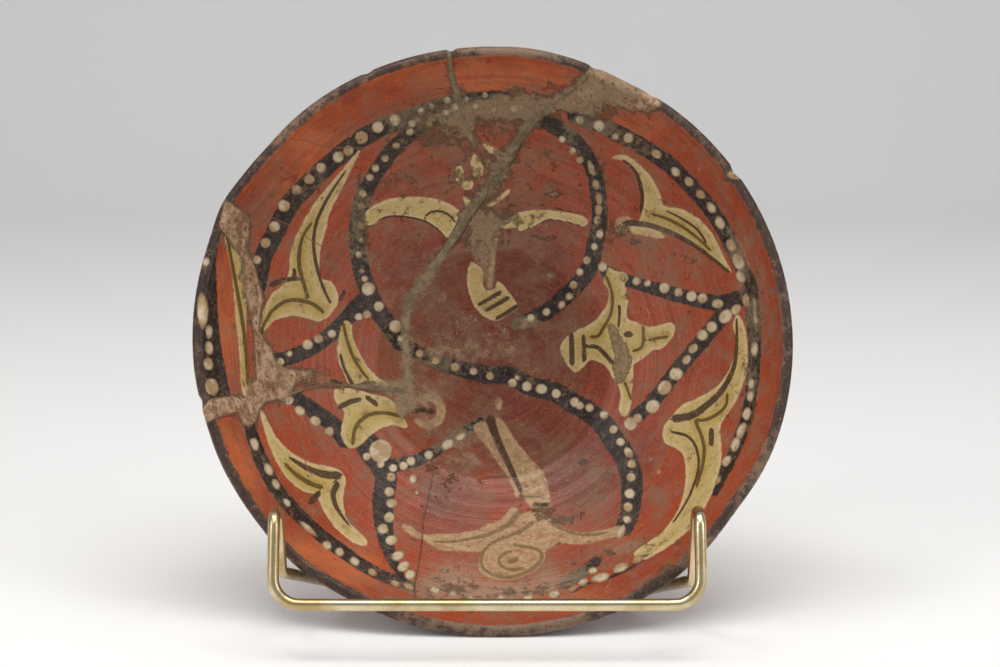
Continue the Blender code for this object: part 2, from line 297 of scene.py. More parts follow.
LINE_SPACING = 2.0
BEAD_THIN_EDGE = 0.4
NO_LENGTH = 1e-9


def blank():
    """Clay with no mark of its kind near it."""
    return np.full(len(clay), OUT_OF_REACH)


def brushed(points, closed=False):
    """A smooth line through listed points, as short straight steps."""
    points = [np.array(point, float) for point in points]
    count = len(points)
    drawn = []
    for index in range(count if closed else count - 1):
        if closed:
            before, start, end, after = (points[(index + step) % count] for step in (-1, 0, 1, 2))
        else:
            before, start = points[max(index - 1, 0)], points[index]
            end, after = points[index + 1], points[min(index + 2, count - 1)]
        steps = max(1, int(np.linalg.norm(end - start) / LINE_SPACING))
        for step in range(steps):
            part = step / steps
            drawn.append(0.5 * (2 * start + (end - before) * part
                                + (2 * before - 5 * start + 4 * end - after) * part ** 2
                                + (3 * start - before - 3 * end + after) * part ** 3))
    if not closed:
        drawn.append(points[-1])
    return np.array(drawn)


def close_by(line, margin):
    """Indices of the painted clay that lies within a margin of a line's box."""
    low = line.min(axis=0) - margin
    high = line.max(axis=0) + margin
    inside = ((pixels >= low) & (pixels <= high)).all(axis=1) & painted
    return np.nonzero(inside)[0]


def measured(line, spots):
    """Distance from spots to a line, the side they are on, and how far along it they are."""
    best = np.full(len(spots), np.inf)
    side = np.ones(len(spots))
    along = np.zeros(len(spots))
    for index in range(len(line) - 1):
        start = line[index]
        run = line[index + 1] - start
        size = max(float(run @ run), NO_LENGTH)
        part = np.clip(((spots - start) @ run) / size, 0.0, 1.0)
        away = spots - start - part[:, None] * run
        distance = np.hypot(away[:, 0], away[:, 1])
        nearer = distance < best
        best[nearer] = distance[nearer]
        side[nearer] = np.sign(run[0] * away[nearer, 1] - run[1] * away[nearer, 0])
        along[nearer] = (index + part[nearer]) / (len(line) - 1)
    return best, side, along


def lay_band(field, points, widths):
    """A band of slip along a line, as wide as widths says from its start to its end."""
    line = brushed(points)
    spots = close_by(line, OUT_OF_REACH)
    distance, _, along = measured(line, pixels[spots])
    places = np.linspace(0.0, 1.0, len(widths))
    half = np.interp(along, places, widths) / 2
    field[spots] = np.minimum(field[spots], distance - half)
    return line


def lay_dot(field, column, row, half_width, half_length=None, direction=(0.0, 1.0)):
    """A dot of slip, or a longer drop in the direction given."""
    half_length = half_length or half_width
    size = max(half_width, half_length)
    corners = np.array(((column - size, row - size), (column + size, row + size)))
    spots = close_by(corners, OUT_OF_REACH)
    away = pixels[spots] - (column, row)
    direction = np.array(direction) / max(np.linalg.norm(direction), NO_LENGTH)
    lengthwise = away @ direction
    crosswise = away @ np.array((-direction[1], direction[0]))
    scaled = np.hypot(lengthwise / half_length, crosswise / half_width)
    distance = (scaled - 1) * min(half_width, half_length)
    field[spots] = np.minimum(field[spots], distance)


def lay_dotted_band(path, widths, dots):
    """A black band and the pale dots along it, each (column, row, half width[, half length])."""
    line = lay_band(band, path, widths)
    for index, (column, row, *sizes) in enumerate(dots):
        nearest = np.argmin(np.hypot(*(line - (column, row)).T))
        ahead = line[min(nearest + 1, len(line) - 1)] - line[max(nearest - 1, 0)]
        thinned = [size - BEAD_THIN_EDGE for size in sizes]
        lay_dot(beads[index % 2], column, row, *thinned, direction=ahead)


def lay_clouds(field, clouds):
    """Soft patches, each (column, row, half width, half height, strength), that only tint."""
    for column, row, half_width, half_height, strength in clouds:
        away = pixels - (column, row)
        scaled = (away[:, 0] / half_width) ** 2 + (away[:, 1] / half_height) ** 2
        field += np.where(painted, strength * np.exp(-scaled), 0.0)


band = blank()
beads = (blank(), blank())
worn = np.zeros(len(clay))
for path, widths, dots in (
        (RING_LEFT, RING_LEFT_WIDTHS, RING_LEFT_BEADS),
        (RING_RIGHT, RING_RIGHT_WIDTHS, RING_RIGHT_BEADS),
        (RING_FOOT, RING_FOOT_WIDTHS, ()),
        (RING_FOOT_EDGE, RING_FOOT_EDGE_WIDTHS, RING_FOOT_BEADS),
        (RING_LOWER_LEFT, RING_LOWER_LEFT_WIDTHS, RING_LOWER_LEFT_BEADS)):
    lay_dotted_band(path, widths, dots)
for bead in RING_BOTTOM_BEADS:
    lay_dot(beads[0], *bead, direction=(1.0, 0.0))
lay_clouds(worn, RING_WORN)

# The left rim sherd. On it the ring comes out as a black stripe along the rim with long pale
# drops, then the bare red slip, and a cream stripe with an olive line.
EDGE_STRIPE = ((214, 236), (209, 258), (207.5, 290), (208, 325), (211, 356), (217, 388), (220, 400))
EDGE_STRIPE_WIDTHS = (12, 15, 19, 21, 23, 24, 22)
EDGE_BEADS = ((206, 262, 4, 5), (202.5, 311, 6, 18), (209, 332, 4, 7), (209, 348, 4.5, 7),
              (208.3, 364, 5, 7), (212, 387, 7, 9))
EDGE_CREAM = ((225, 227), (224.5, 238), (229, 258), (232.5, 281.6), (234.7, 308), (237.7, 337), (240, 367),
              (241.3, 386), (245.7, 399), (249.5, 398), (249, 383), (248, 364), (246, 337), (246.5, 310),
              (247, 290), (246, 270), (240, 252), (231, 235))
EDGE_OLIVE = ((226, 233), (231, 258), (235.5, 283), (240.6, 311), (244.3, 337), (246.5, 360), (247.5, 383))
EDGE_OLIVE_WIDTHS = (2.4, 3.2, 3.0)
NEIGHBOUR_REACH = 10.0


def lay_shape(field, points, soft=False):
    """A filled shape inside a closed outline."""
    corners = [np.array(point, float) for point in points]
    line = np.array(corners + corners[:1]) if soft else brushed(points, closed=True)
    line = np.vstack((line, line[:1]))
    spots = close_by(line, OUT_OF_REACH)
    here = pixels[spots]
    distance, _, _ = measured(line, here)
    crossings = np.zeros(len(here), int)
    for start, end in zip(line, line[1:]):
        spans = (start[1] > here[:, 1]) != (end[1] > here[:, 1])
        rise = end[1] - start[1]
        rise = rise if abs(rise) > NO_LENGTH else NO_LENGTH
        column = start[0] + (here[:, 1] - start[1]) * (end[0] - start[0]) / rise
        crossings += spans & (here[:, 0] < column)
    inside = crossings % 2 == 1
    field[spots] = np.minimum(field[spots], np.where(inside, -distance, distance))


def lay_line(fields, points, widths):
    """A thin stroke: how many half widths off its middle, with its side, and without."""
    sides, reaches = fields
    line = brushed(points)
    spots = close_by(line, OUT_OF_REACH)
    distance, side, along = measured(line, pixels[spots])
    half = np.interp(along, np.linspace(0.0, 1.0, len(widths)), widths) / 2
    scaled = distance / half
    between = (reaches[spots] < NEIGHBOUR_REACH) & (scaled < NEIGHBOUR_REACH)
    if np.sum(np.sign(sides[spots][between]) * side[between]) < 0:
        side = -side
    nearer = scaled < reaches[spots]
    reaches[spots[nearer]] = scaled[nearer]
    sides[spots[nearer]] = (side * scaled)[nearer]


def lay_figure(field, outlines, brown_lines=(), olive_lines=()):
    """A figure's filled shapes, and the brown and the olive lines over them."""
    for outline in outlines:
        lay_shape(field, outline)
    for points, widths in brown_lines:
        lay_line(brown, points, widths)
    for points, widths in olive_lines:
        lay_line(olive, points, widths)


cream = blank()
brown = (blank(), blank())
olive = (blank(), blank())
lay_dotted_band(EDGE_STRIPE, EDGE_STRIPE_WIDTHS, EDGE_BEADS)
lay_figure(cream, (EDGE_CREAM,), olive_lines=((EDGE_OLIVE, EDGE_OLIVE_WIDTHS),))

# The loop, the spokes and the wave. One dotted black band swings round the upper half as a
# loop and crosses the middle as a wave; short spokes tie the loop to the ring.
LOOP = ((401, 343), (396, 336), (386, 322), (376, 307), (367.5, 288), (361.6, 271), (358.7, 254.5),
        (357.5, 240), (358, 225), (361, 206), (365, 193), (373, 177), (382, 164), (392, 151), (404, 139),
        (416, 128), (430, 119), (446, 112), (462, 108.5), (480, 108), (500, 109), (520, 112), (540, 119),
        (560.6, 130), (571, 137), (579, 145.6), (588, 158), (594, 172), (597.5, 190), (599.7, 210),
        (599, 225), (597.4, 234), (594, 250), (589.7, 267.5), (579, 283), (565, 296.5), (550, 309.5),
        (533, 318), (518, 324))
LOOP_WIDTHS = (17, 18, 17, 17, 16, 16, 17, 16, 16, 15.5, 16, 17, 17, 14)
LOOP_BEADS = (
    (400.8, 338.8, 4), (395.4, 326.3, 6.8), (378.8, 306.5, 5.6), (368.2, 288.9, 7.3), (364.6, 278.7, 3.8),
    (361.6, 271.3, 3), (358.8, 254.5, 4), (361.8, 240.4, 3), (360.4, 225.4, 4.5), (361.3, 205.8, 4.2),
    (362.4, 194, 4.5), (370, 177.4, 4.2), (375.3, 167.9, 4.5), (385.1, 158.5, 4.2), (396.4, 145.7, 4.2),
    (409.9, 131.8, 4.5), (412.2, 123.5, 4.5), (429, 123.7, 4), (445.8, 112.7, 4), (455.5, 106.9, 4),
    (475.4, 106.1, 4), (494, 109.6, 3), (514.4, 108.1, 5), (521.6, 106.9, 3.5), (562.2, 139.2, 4),
    (572.6, 151, 4.2), (579.8, 159.9, 4.2), (591.5, 168.6, 3.5, 8), (595.8, 184.7, 4, 5.5),
    (598.9, 199.2, 3.5, 7), (598.6, 209.9, 4, 6), (597.4, 219.9, 4, 5), (600, 234.1, 4.5),
    (594.3, 246.7, 4.2), (587, 260.3, 4.5), (579.8, 272, 4.2), (573.6, 285, 4.5), (569.3, 296.5, 4.2),
    (561.7, 305, 4, 4.5), (546.5, 312, 4.5), (530.8, 318, 4.5),
)
WAVE = ((405, 345), (419.5, 353.5), (435, 361), (455, 367.5), (474, 372), (487, 374.6), (510, 376),
        (530, 386), (553, 391.4), (571, 402), (590, 413), (605, 426.6), (616, 443.5), (624, 454),
        (630.4, 473), (632, 480), (631.6, 497), (629.3, 514), (624.5, 527))
WAVE_WIDTHS = (13, 15, 18, 19, 20, 21, 22, 22, 18)
WAVE_BEADS = (
    (419.5, 353.5, 4.5), (435.4, 361, 4.5), (455, 367, 4.8), (473.7, 371.5, 4.3), (489.9, 376, 4.5),
    (512.4, 383, 5), (517.3, 377.7, 3), (526.9, 386.5, 5.5), (541.5, 389, 5.5, 6.5), (556.3, 393.7, 5.3),
    (574.8, 402.3, 5.3), (580, 405.7, 4.5), (589.7, 407.8, 4.8), (604, 415, 4.6), (613.4, 429.5, 4.8),
    (620.5, 441.7, 4.6), (628.4, 452.5, 4.5, 6), (631.5, 464.2, 4.8), (631, 477.3, 5), (629.6, 493.8, 5.5),
    (628, 507, 5), (627, 519.6, 4.5), (621, 532, 4, 8),
)
SPOKE_UPPER_LEFT = ((275, 361), (293, 356.4), (315, 346), (337, 328.6), (356, 308), (363, 302))
SPOKE_UPPER_LEFT_WIDTHS = (15, 15, 17)
SPOKE_UPPER_LEFT_BEADS = ((280.5, 362, 4.5), (289.7, 353.8, 3.5), (307.4, 344.7, 5.6), (318.6, 339, 5),
                          (331.9, 333.7, 4.8), (358.7, 316.8, 4.4), (367.2, 314.6, 4.6))
SPOKE_LOWER_LEFT = ((287, 394.6), (301.5, 402), (317.6, 413.6), (333.8, 425.4), (345, 440))
SPOKE_LOWER_LEFT_WIDTHS = (14, 16, 17)
SPOKE_LOWER_LEFT_BEADS = ((289, 400.4, 5), (300, 410.7, 4.8, 6), (315.4, 421, 4.8, 6),
                          (329.4, 431.2, 4.6, 5.3))
SPOKE_UPPER_RIGHT = ((606, 271), (621, 278), (640, 284.4), (659.5, 290), (681, 296), (702, 300.5),
                     (720.7, 303), (740.6, 298))
SPOKE_UPPER_RIGHT_WIDTHS = (12, 13, 15, 17)
SPOKE_UPPER_RIGHT_BEADS = (
    (602.6, 266.8, 5.3), (624, 277.5, 4.5), (636.5, 281, 4.8), (647.7, 283.2, 4), (664.4, 288, 5.8),
    (678.6, 292.5, 5), (691.6, 296.3, 5.8), (702.4, 298.2, 5.5), (717.7, 304, 5, 6.5),
)
SPOKE_LOWER_RIGHT = ((722, 316), (714.6, 325.7), (698, 345.6), (681, 365.5), (665.6, 385.4), (652, 402),
                     (636.5, 416))
SPOKE_LOWER_RIGHT_WIDTHS = (17, 15, 15, 14)
SPOKE_LOWER_RIGHT_BEADS = (
    (736, 309.6, 4.5, 6.5), (725.6, 316.5, 6.5, 8), (711.5, 327, 6), (702.4, 335, 6),
    (693.2, 348.7, 4.5, 6), (686.3, 359.7, 4.5, 5.5), (675.9, 374, 7), (664.5, 387.7, 7, 8),
    (652.6, 406.5, 7, 7.5), (637.3, 418.3, 5), (630.4, 423.7, 7),
)
LOOP_WORN = (
    (446, 362, 40, 14, 0.26), (520, 325, 18, 10, 0.45), (480, 104, 62, 14, 0.30),
    (414, 118, 40, 17, 0.34), (361, 218, 14, 44, 0.34), (306, 182, 24, 24, 0.16),
    (600, 130, 30, 20, 0.16), (600, 200, 12, 40, 0.12), (640, 148, 30, 16, 0.20),
    (734, 255, 12, 34, 0.22), (750, 380, 10, 60, 0.18),
)
for path, widths, dots in (
        (LOOP, LOOP_WIDTHS, LOOP_BEADS),
        (WAVE, WAVE_WIDTHS, WAVE_BEADS),
        (SPOKE_UPPER_LEFT, SPOKE_UPPER_LEFT_WIDTHS, SPOKE_UPPER_LEFT_BEADS),
        (SPOKE_LOWER_LEFT, SPOKE_LOWER_LEFT_WIDTHS, SPOKE_LOWER_LEFT_BEADS),
        (SPOKE_UPPER_RIGHT, SPOKE_UPPER_RIGHT_WIDTHS, SPOKE_UPPER_RIGHT_BEADS),
        (SPOKE_LOWER_RIGHT, SPOKE_LOWER_RIGHT_WIDTHS, SPOKE_LOWER_RIGHT_BEADS)):
    lay_dotted_band(path, widths, dots)
lay_clouds(worn, LOOP_WORN)

# The lower loop. A wide dotted band falls from a round pale disc at the left of the middle
# and dies out in the crust above the ring.
LOWER_LOOP = ((357, 428), (368, 446), (380, 462), (386, 478), (384.5, 490), (383, 503), (384, 525),
              (386, 540), (390, 554), (396.5, 568), (404, 579))
LOWER_LOOP_WIDTHS = (16, 24, 26, 22, 22, 22, 20, 17, 13, 9, 6)
LOWER_LOOP_BEADS = (
    (366.8, 456.5, 4.5), (380.7, 451.3, 12), (380.7, 463.8, 4.5), (393.2, 468.2, 4.6), (391, 477, 5),
    (389.5, 491.7, 5.6, 5), (391.7, 503.4, 6, 5), (389.5, 517.4, 5.5), (382.9, 528.8, 6, 5.5),
    (391.3, 540.4, 6.5, 5.5), (397.6, 555.8, 7, 5), (403.4, 566.5, 7, 5), (410, 574.6, 6, 5),
)
LOWER_LOOP_TOP = ((392, 466), (405, 463), (418.3, 459.7), (438.2, 449), (459.6, 435.2), (480, 421))
LOWER_LOOP_TOP_WIDTHS = (14, 13, 12, 11, 10, 7)
LOWER_LOOP_TOP_BEADS = ((403.4, 466, 4.8), (410.8, 460.9, 5), (428.5, 455.1, 5), (447.4, 444.4, 5, 7),
                        (460.4, 436.7, 4, 6))
STRAY_BEADS = ((413, 478.8, 3.6, 4.6), (416.7, 493.1, 2))
LOWER_LOOP_WORN = ((452, 438, 44, 22, 0.32),)
lay_dotted_band(LOWER_LOOP, LOWER_LOOP_WIDTHS, LOWER_LOOP_BEADS)
lay_dotted_band(LOWER_LOOP_TOP, LOWER_LOOP_TOP_WIDTHS, LOWER_LOOP_TOP_BEADS)
for field, bead in zip(beads, STRAY_BEADS):
    lay_dot(field, *bead)
lay_clouds(worn, LOWER_LOOP_WORN)

# The leaves. Cream slip, each trailed in one or two strokes and lined in brown and in a
# thin olive that has stained the cream beside it.
UPPER_LEFT_LEAF = (
    (360.9, 147.8), (344, 167.6), (326.4, 188.2), (314.7, 202.8), (305.9, 217.5), (298.5, 230.7),
    (292.7, 245), (289.7, 258), (288.3, 273), (283, 285), (272, 293.3), (264.8, 308), (260.4, 322.7),
    (260.8, 334), (266.3, 328.6), (276.5, 319.7), (292.7, 316), (307.4, 318.3), (317.6, 321.2),
    (326.4, 318.3), (335.2, 308), (338.2, 297.8), (335.2, 287.5), (330.8, 281.6), (322, 278.7),
    (319.1, 268.4), (320.6, 249.3), (325, 232.2), (329.4, 214.6), (335.2, 201.4), (342.6, 186.7),
    (352.8, 166.2),
)
UPPER_LEFT_LEAF_BROWN = (
    (((345.5, 170.6), (330.8, 192.6), (322, 208.7), (316.5, 222), (313.5, 239), (314.7, 256.7),
      (319, 275.7),
      (325, 292), (330, 302)), (1.6, 2.6, 3, 3, 2.4)),
    (((272, 284.5), (284, 280), (301.5, 278.7)), (4.4, 4.4, 2.5)),
    (((294, 270), (295, 279)), (3, 3)),
    (((344, 292), (340.4, 299)), (3, 3)),
)
UPPER_LEFT_LEAF_OLIVE = (
    (((311, 223.4), (303, 236), (299.5, 250), (299.3, 266), (303, 281.6), (307.4, 296.3)), (2.4, 3.6, 3.2)),
    (((262, 333), (263.3, 325.6), (272, 311), (284, 302), (295.6, 300), (307.4, 302), (316, 306),
      (322, 311)),
     (2.4, 3.4, 3.4)),
)
LEFT_LEAF_UPPER = (
    (342.6, 322.7), (347, 320.5), (351.4, 324.2), (352.8, 337.4), (358.7, 352), (367.5, 366.7),
    (379.2, 378.4), (391, 385), (380.7, 386), (366, 381), (354.3, 387), (348.4, 382.8), (342.6, 371),
    (337.4, 356.4), (338.2, 340.3), (341, 328.6),
)
LEFT_LEAF_LOWER = (
    (352.8, 388.7), (370.4, 393.8), (386.6, 397.5), (395.4, 404.8), (402.7, 415), (407, 424),
    (405.6, 428.3), (395.4, 425.4), (385, 426.8), (373.4, 432.7), (363, 443), (354.3, 448), (348.4, 447.4),
    (343.3, 441.5), (341, 432.7), (342.6, 422.4), (344, 410.7), (339.6, 407.8), (334.5, 399),
    (334.5, 390.2), (342.6, 388.7),
)
LEFT_LEAF_OLIVE = (
    (((343.3, 324.2), (347, 340.3), (352.8, 356.4), (361.6, 371), (367.5, 378.4)), (2.6, 3, 2.4)),
    (((352.8, 443), (354.3, 431), (360.2, 421), (370.4, 414.4), (385, 413), (404.2, 417.3)), (3.4, 3.6, 3)),
)
LEFT_LEAF_BROWN = (
    (((340.4, 355), (344, 368), (351.4, 382.8)), (2.2, 3.2)),
    (((341, 406.3), (350, 402), (358.7, 399.7)), (5, 4)),
    (((334.5, 380.6), (341, 384.3)), (3, 3)),
    (((368, 398), (376, 404)), (4, 4)),
)
UPPER_RIGHT_LEAF = (
    (612, 158), (618, 155), (627, 155.7), (636.5, 162.6), (645.7, 170.2), (653.4, 181), (659.5, 191.6),
    (661.8, 199.3), (664, 205.4), (679.4, 208.5), (694.7, 216), (705.4, 225.3), (713, 234.5),
    (719.2, 246.7), (725.3, 259), (731.5, 273), (716, 262), (700.8, 249.8), (682.4, 238.3), (667, 231.4),
    (651.8, 226.8), (642.7, 225.3), (637, 222), (641, 217), (643.4, 205.4), (642.7, 194.7), (639.6, 182.4),
    (635, 171.7), (624.3, 161),
)
UPPER_RIGHT_LEAF_OLIVE = (
    (((652, 214), (668, 219), (686, 229), (700, 240), (710, 250)), (2, 3, 2.6, 2)),
)
UPPER_RIGHT_LEAF_BROWN = (
    (((623.5, 160.3), (632, 167), (638, 176.3), (641, 187), (642.7, 197.8), (641, 210)), (2, 3.4, 3)),
    (((667, 211), (681, 218), (694.7, 227), (702.4, 236), (706, 243)), (1.6, 2.4, 1.8)),
    (((627, 223), (640, 223.6), (652, 226), (672, 233), (694, 245), (712, 258), (728, 271)),
     (5, 4.6, 3.6, 2.6)),
)
LEAF_FOOT = ((631, 226), (645, 226.5), (658, 231), (666, 237.5), (655, 238), (642, 234.5), (632, 233))
LOWER_RIGHT_LEAF = (
    (736.5, 315), (733, 325.7), (736, 338), (734.5, 353.3), (728.4, 371.6), (716, 387), (697.8, 397.7),
    (682.4, 405.3), (672, 416), (664.5, 426), (662.6, 435), (666, 444), (676, 448), (682.4, 453.5),
    (685.3, 465), (685.3, 482), (682.5, 498), (677.9, 510.2), (670.2, 522.5), (659.5, 534.7),
    (645.7, 543.9), (634, 553.5), (642.7, 559.5), (658, 553.1), (676.3, 540.8), (691.6, 527), (701, 514),
    (711.5, 494.9), (717.7, 476.5), (720.9, 461.2), (721.5, 445.9), (720, 430.6), (722.3, 421.4),
    (730, 410.5), (738, 397), (743.7, 382.4), (747.5, 365.5), (747.5, 347), (745.2, 328.8), (740.5, 317),
)
LOWER_RIGHT_LEAF_BROWN = (
    (((736.8, 319.6), (736.8, 347), (733, 370), (722.3, 390), (707, 405.3), (691.6, 415.5), (675.6, 418.4)),
     (1.8, 3, 4, 5, 6, 7)),
    (((672.5, 432.1), (687, 436), (694.7, 444.4), (698.5, 456.6), (698.5, 468.9), (694.7, 482.7),
      (690.1, 494.9), (682.5, 508.7), (673.3, 522.5)), (2.4, 2.6, 2.2, 2, 1.6)),
    (((711.5, 431), (711.5, 443)), (4.4, 4.4)),
)
LOWER_RIGHT_LEAF_OLIVE = (
    (((727.6, 394.6), (726, 405.3), (717.7, 414), (705.4, 420), (696, 421), (700.8, 433.7), (704.2, 447),
      (702.8, 464.3), (697, 485.7)), (2.4, 3, 3, 2.6)),
)
LOWER_LEFT_LEAF = (
    (258.5, 409), (263.3, 426.4), (267.7, 441), (272.1, 452.8), (278, 464.5), (285.4, 476.3),
    (295.6, 486.5), (305.9, 492.4), (316.2, 494.5), (319.1, 501.2), (326.4, 515.9), (336.7, 529.1),
    (348.4, 539.4), (357.2, 544.5), (365.3, 546), (367.8, 542.3), (364.6, 537.2), (355.8, 529.1),
    (348.4, 521.8), (344.8, 513), (343.3, 502.7), (344, 490.9), (346.2, 482.1), (344, 474.8),
    (338.2, 469.7), (326.4, 466), (311.8, 463.1), (301.5, 458.7), (291.2, 452.1), (282.4, 444),
    (275.1, 435.2), (267.7, 422), (261.9, 410),
)
LOWER_LEFT_LEAF_BROWN = (
    (((289.8, 457.9), (301.5, 465.3), (311.8, 470.4), (319.1, 473.3), (330.8, 475.5), (337, 475.5)),
     (2, 4, 5, 6.5, 7)),
    (((336.7, 485.1), (333, 493.9), (334.5, 502.7), (339.6, 513), (348.4, 524.7)), (5.4, 4.4, 3, 2)),
    (((318, 493.9), (311.8, 501.2)), (5, 5)),
)
LOWER_LEFT_LEAF_OLIVE = (
    (((285.4, 464.5), (292.7, 471.9), (301.5, 478.5), (311.8, 484.3), (320.6, 487.3)), (2.6, 4, 4)),
)
for outline, brown_lines, olive_lines in (
        (UPPER_LEFT_LEAF, UPPER_LEFT_LEAF_BROWN, UPPER_LEFT_LEAF_OLIVE),
        (LEFT_LEAF_UPPER, (), LEFT_LEAF_OLIVE),
        (LEFT_LEAF_LOWER, LEFT_LEAF_BROWN, ()),
        (UPPER_RIGHT_LEAF, UPPER_RIGHT_LEAF_BROWN, UPPER_RIGHT_LEAF_OLIVE),
        (LOWER_RIGHT_LEAF, LOWER_RIGHT_LEAF_BROWN, LOWER_RIGHT_LEAF_OLIVE),
        (LOWER_LEFT_LEAF, LOWER_LEFT_LEAF_BROWN, LOWER_LEFT_LEAF_OLIVE),
        (LEAF_FOOT, (), ())):
    lay_figure(cream, (outline,), brown_lines, olive_lines)

# The star flower. A cream flower with three uneven petals to the right of the middle, with
# two short brown bars and thin lines that follow its petals.
STAR_FLOWER = (
    (607.7, 267.4), (614.2, 270.1), (620.7, 271.7), (626.2, 273.3), (628.3, 278.2), (625.1, 283.6),
    (626.2, 291.2), (627.8, 301), (626.7, 315.1), (630.5, 320), (642.4, 324.8), (651.1, 327),
    (660.9, 324.8), (670.6, 322.1), (675, 327), (673.9, 334.6), (667.4, 343.3), (660.9, 348.7),
    (652.2, 350.9), (644.6, 357.4), (638.1, 361.7), (633.2, 365), (633.2, 374.7), (631.6, 389.9),
    (631, 401.8), (628.9, 412.7), (623.5, 416.5), (619.1, 411.6), (619.7, 401.8), (620.7, 394.3),
    (618, 384.5), (613.1, 378), (606.6, 367.1), (598, 361.7), (589.3, 360.1), (583.9, 366.1),
    (576.3, 372.6), (569.8, 368.2), (564.3, 359.5), (560.5, 350.9), (562.2, 342.2), (568.7, 335.7),
    (579.5, 329.2), (590.4, 323.8), (600.1, 315.1), (606.6, 305.3), (608.8, 296.6), (607.2, 286.9),
    (602.8, 282.5), (604.5, 278.2), (606.6, 273.9),
)
STAR_FLOWER_BROWN = (
    (((571.4, 335.7), (571.8, 349), (572.1, 362.3)), (4.0, 4.6)),
    (((583.3, 336.8), (584.1, 348), (584.4, 359.5)), (3.4, 3.8)),
    (((589.8, 346.5), (596.9, 347.1), (603.4, 352.5), (612.1, 362.3)), (3.4, 3.8)),
    (((627.6, 334.4), (629.4, 334.4)), (5.6, 5.6)),
    (((619.4, 306.4), (619.7, 313), (618.6, 325.9)), (2.6, 2.2)),
)
STAR_FLOWER_OLIVE = (
    (((606.6, 277.1), (611, 289), (612.6, 301), (610.4, 315.1), (603.4, 328.1), (598, 336.2),
      (591.5, 336.8)),
     (2.4, 2.8, 2.8)),
    (((643.3, 327.5), (643.5, 342.2), (640.3, 348.7), (633.8, 350.9)), (2.6, 2.6)),
    (((650, 340), (656.5, 338.4), (667.4, 336.8)), (2.8, 2.4)),
    (((625.1, 383.4), (628.3, 391), (630.5, 398.6)), (2.6, 2.2)),
)
lay_figure(cream, (STAR_FLOWER,), STAR_FLOWER_BROWN, STAR_FLOWER_OLIVE)

# The upper figure. Curling cream strokes inside the loop, cut across by the widest join, so
# that only pieces of them are left.
LEFT_CRESCENT = (
    (366, 211.6), (379, 202.8), (395.4, 197.7), (420, 197), (436.6, 199), (449, 203.8), (459.6, 211.4),
    (456.5, 220.6), (449, 237.5), (444.3, 236), (436.6, 228.3), (424.4, 220.6), (407.5, 216.8), (392, 216),
    (382, 218.5), (373.4, 225.6), (366, 226.3), (364.5, 219),
)
RIGHT_ARC = (
    (501.2, 221.9), (511.5, 216.8), (521.7, 211.7), (542.1, 209.7), (561.2, 211.7), (580.4, 215.5),
    (588, 220.6), (585.5, 226.3), (577.8, 225.1), (565, 221.2), (548.5, 219.3), (537, 224.4),
    (521.7, 230.8), (516.6, 227.6), (501.2, 228.2), (496, 227),
)
PETAL_LEFT = ((461.7, 166), (456, 168.3), (456.6, 181), (461, 187.4), (468, 190), (473.2, 186.1),
              (472.5, 181), (465.5, 179.8), (463.6, 173.4))
PETAL_MIDDLE = ((474.4, 153.5), (482.1, 164.4), (482.1, 174.7), (477, 178.5), (471.9, 173.4),
                (474.4, 168.3), (470.6, 164.4))
PETAL_RIGHT = ((482.1, 142.8), (488.5, 145.3), (501.2, 152.3), (493.6, 154.2), (487.2, 150.4))
PETAL_SPECK = ((487.2, 158.5), (490.5, 161), (487.5, 164), (484.5, 161))
STEM = ((508.9, 189), (497, 198.5), (486.5, 205), (488, 208.4), (499, 201.5), (510.5, 192))
STUB = ((463.6, 197), (471.5, 201.5), (466.8, 208.5))
CLAW = (
    (470.6, 262.7), (478.3, 265.3), (483.4, 271.6), (482.5, 283), (487, 290), (494.9, 288.2),
    (497.4, 281.8), (503.8, 285.7), (511.5, 295.9), (518, 307.4), (508.9, 313.7), (498.7, 320.5),
    (488.5, 319), (479.6, 312.5), (471.9, 301), (468.1, 288.2), (466.8, 277),
)
UPPER_FIGURE_BROWN = (
    (((526.8, 204), (548, 206.5), (567.6, 211), (588, 214)), (0.9, 1.3, 1.0)),
    (((479.6, 304.2), (489.5, 298.6), (499.3, 292.7)), (3.0, 3.6)),
    (((487.2, 309.9), (497, 304.3), (507, 298.4)), (3.2, 3.8)),
    (((497.4, 318.2), (507, 312.6), (515.9, 306.7)), (3.2, 3.8)),
    (((424.4, 217.6), (430.5, 212.2), (441.2, 211.4), (450.4, 216), (455, 222)), (1.6, 2.2, 1.6)),
    (((367, 226), (373, 225.4), (381.5, 218.8), (392, 216.2), (407.5, 217), (424.4, 221), (437, 228.8),
      (445, 237)), (1.2, 1.8, 1.6, 1.2)),
    (((540, 223.4), (549, 219.6), (565, 221.6), (580, 225.6)), (1.4, 1.4)),
)
UPPER_FIGURE = (LEFT_CRESCENT, RIGHT_ARC, PETAL_LEFT, PETAL_MIDDLE, PETAL_RIGHT, PETAL_SPECK,
                STEM, STUB, CLAW)
lay_figure(cream, UPPER_FIGURE, UPPER_FIGURE_BROWN)

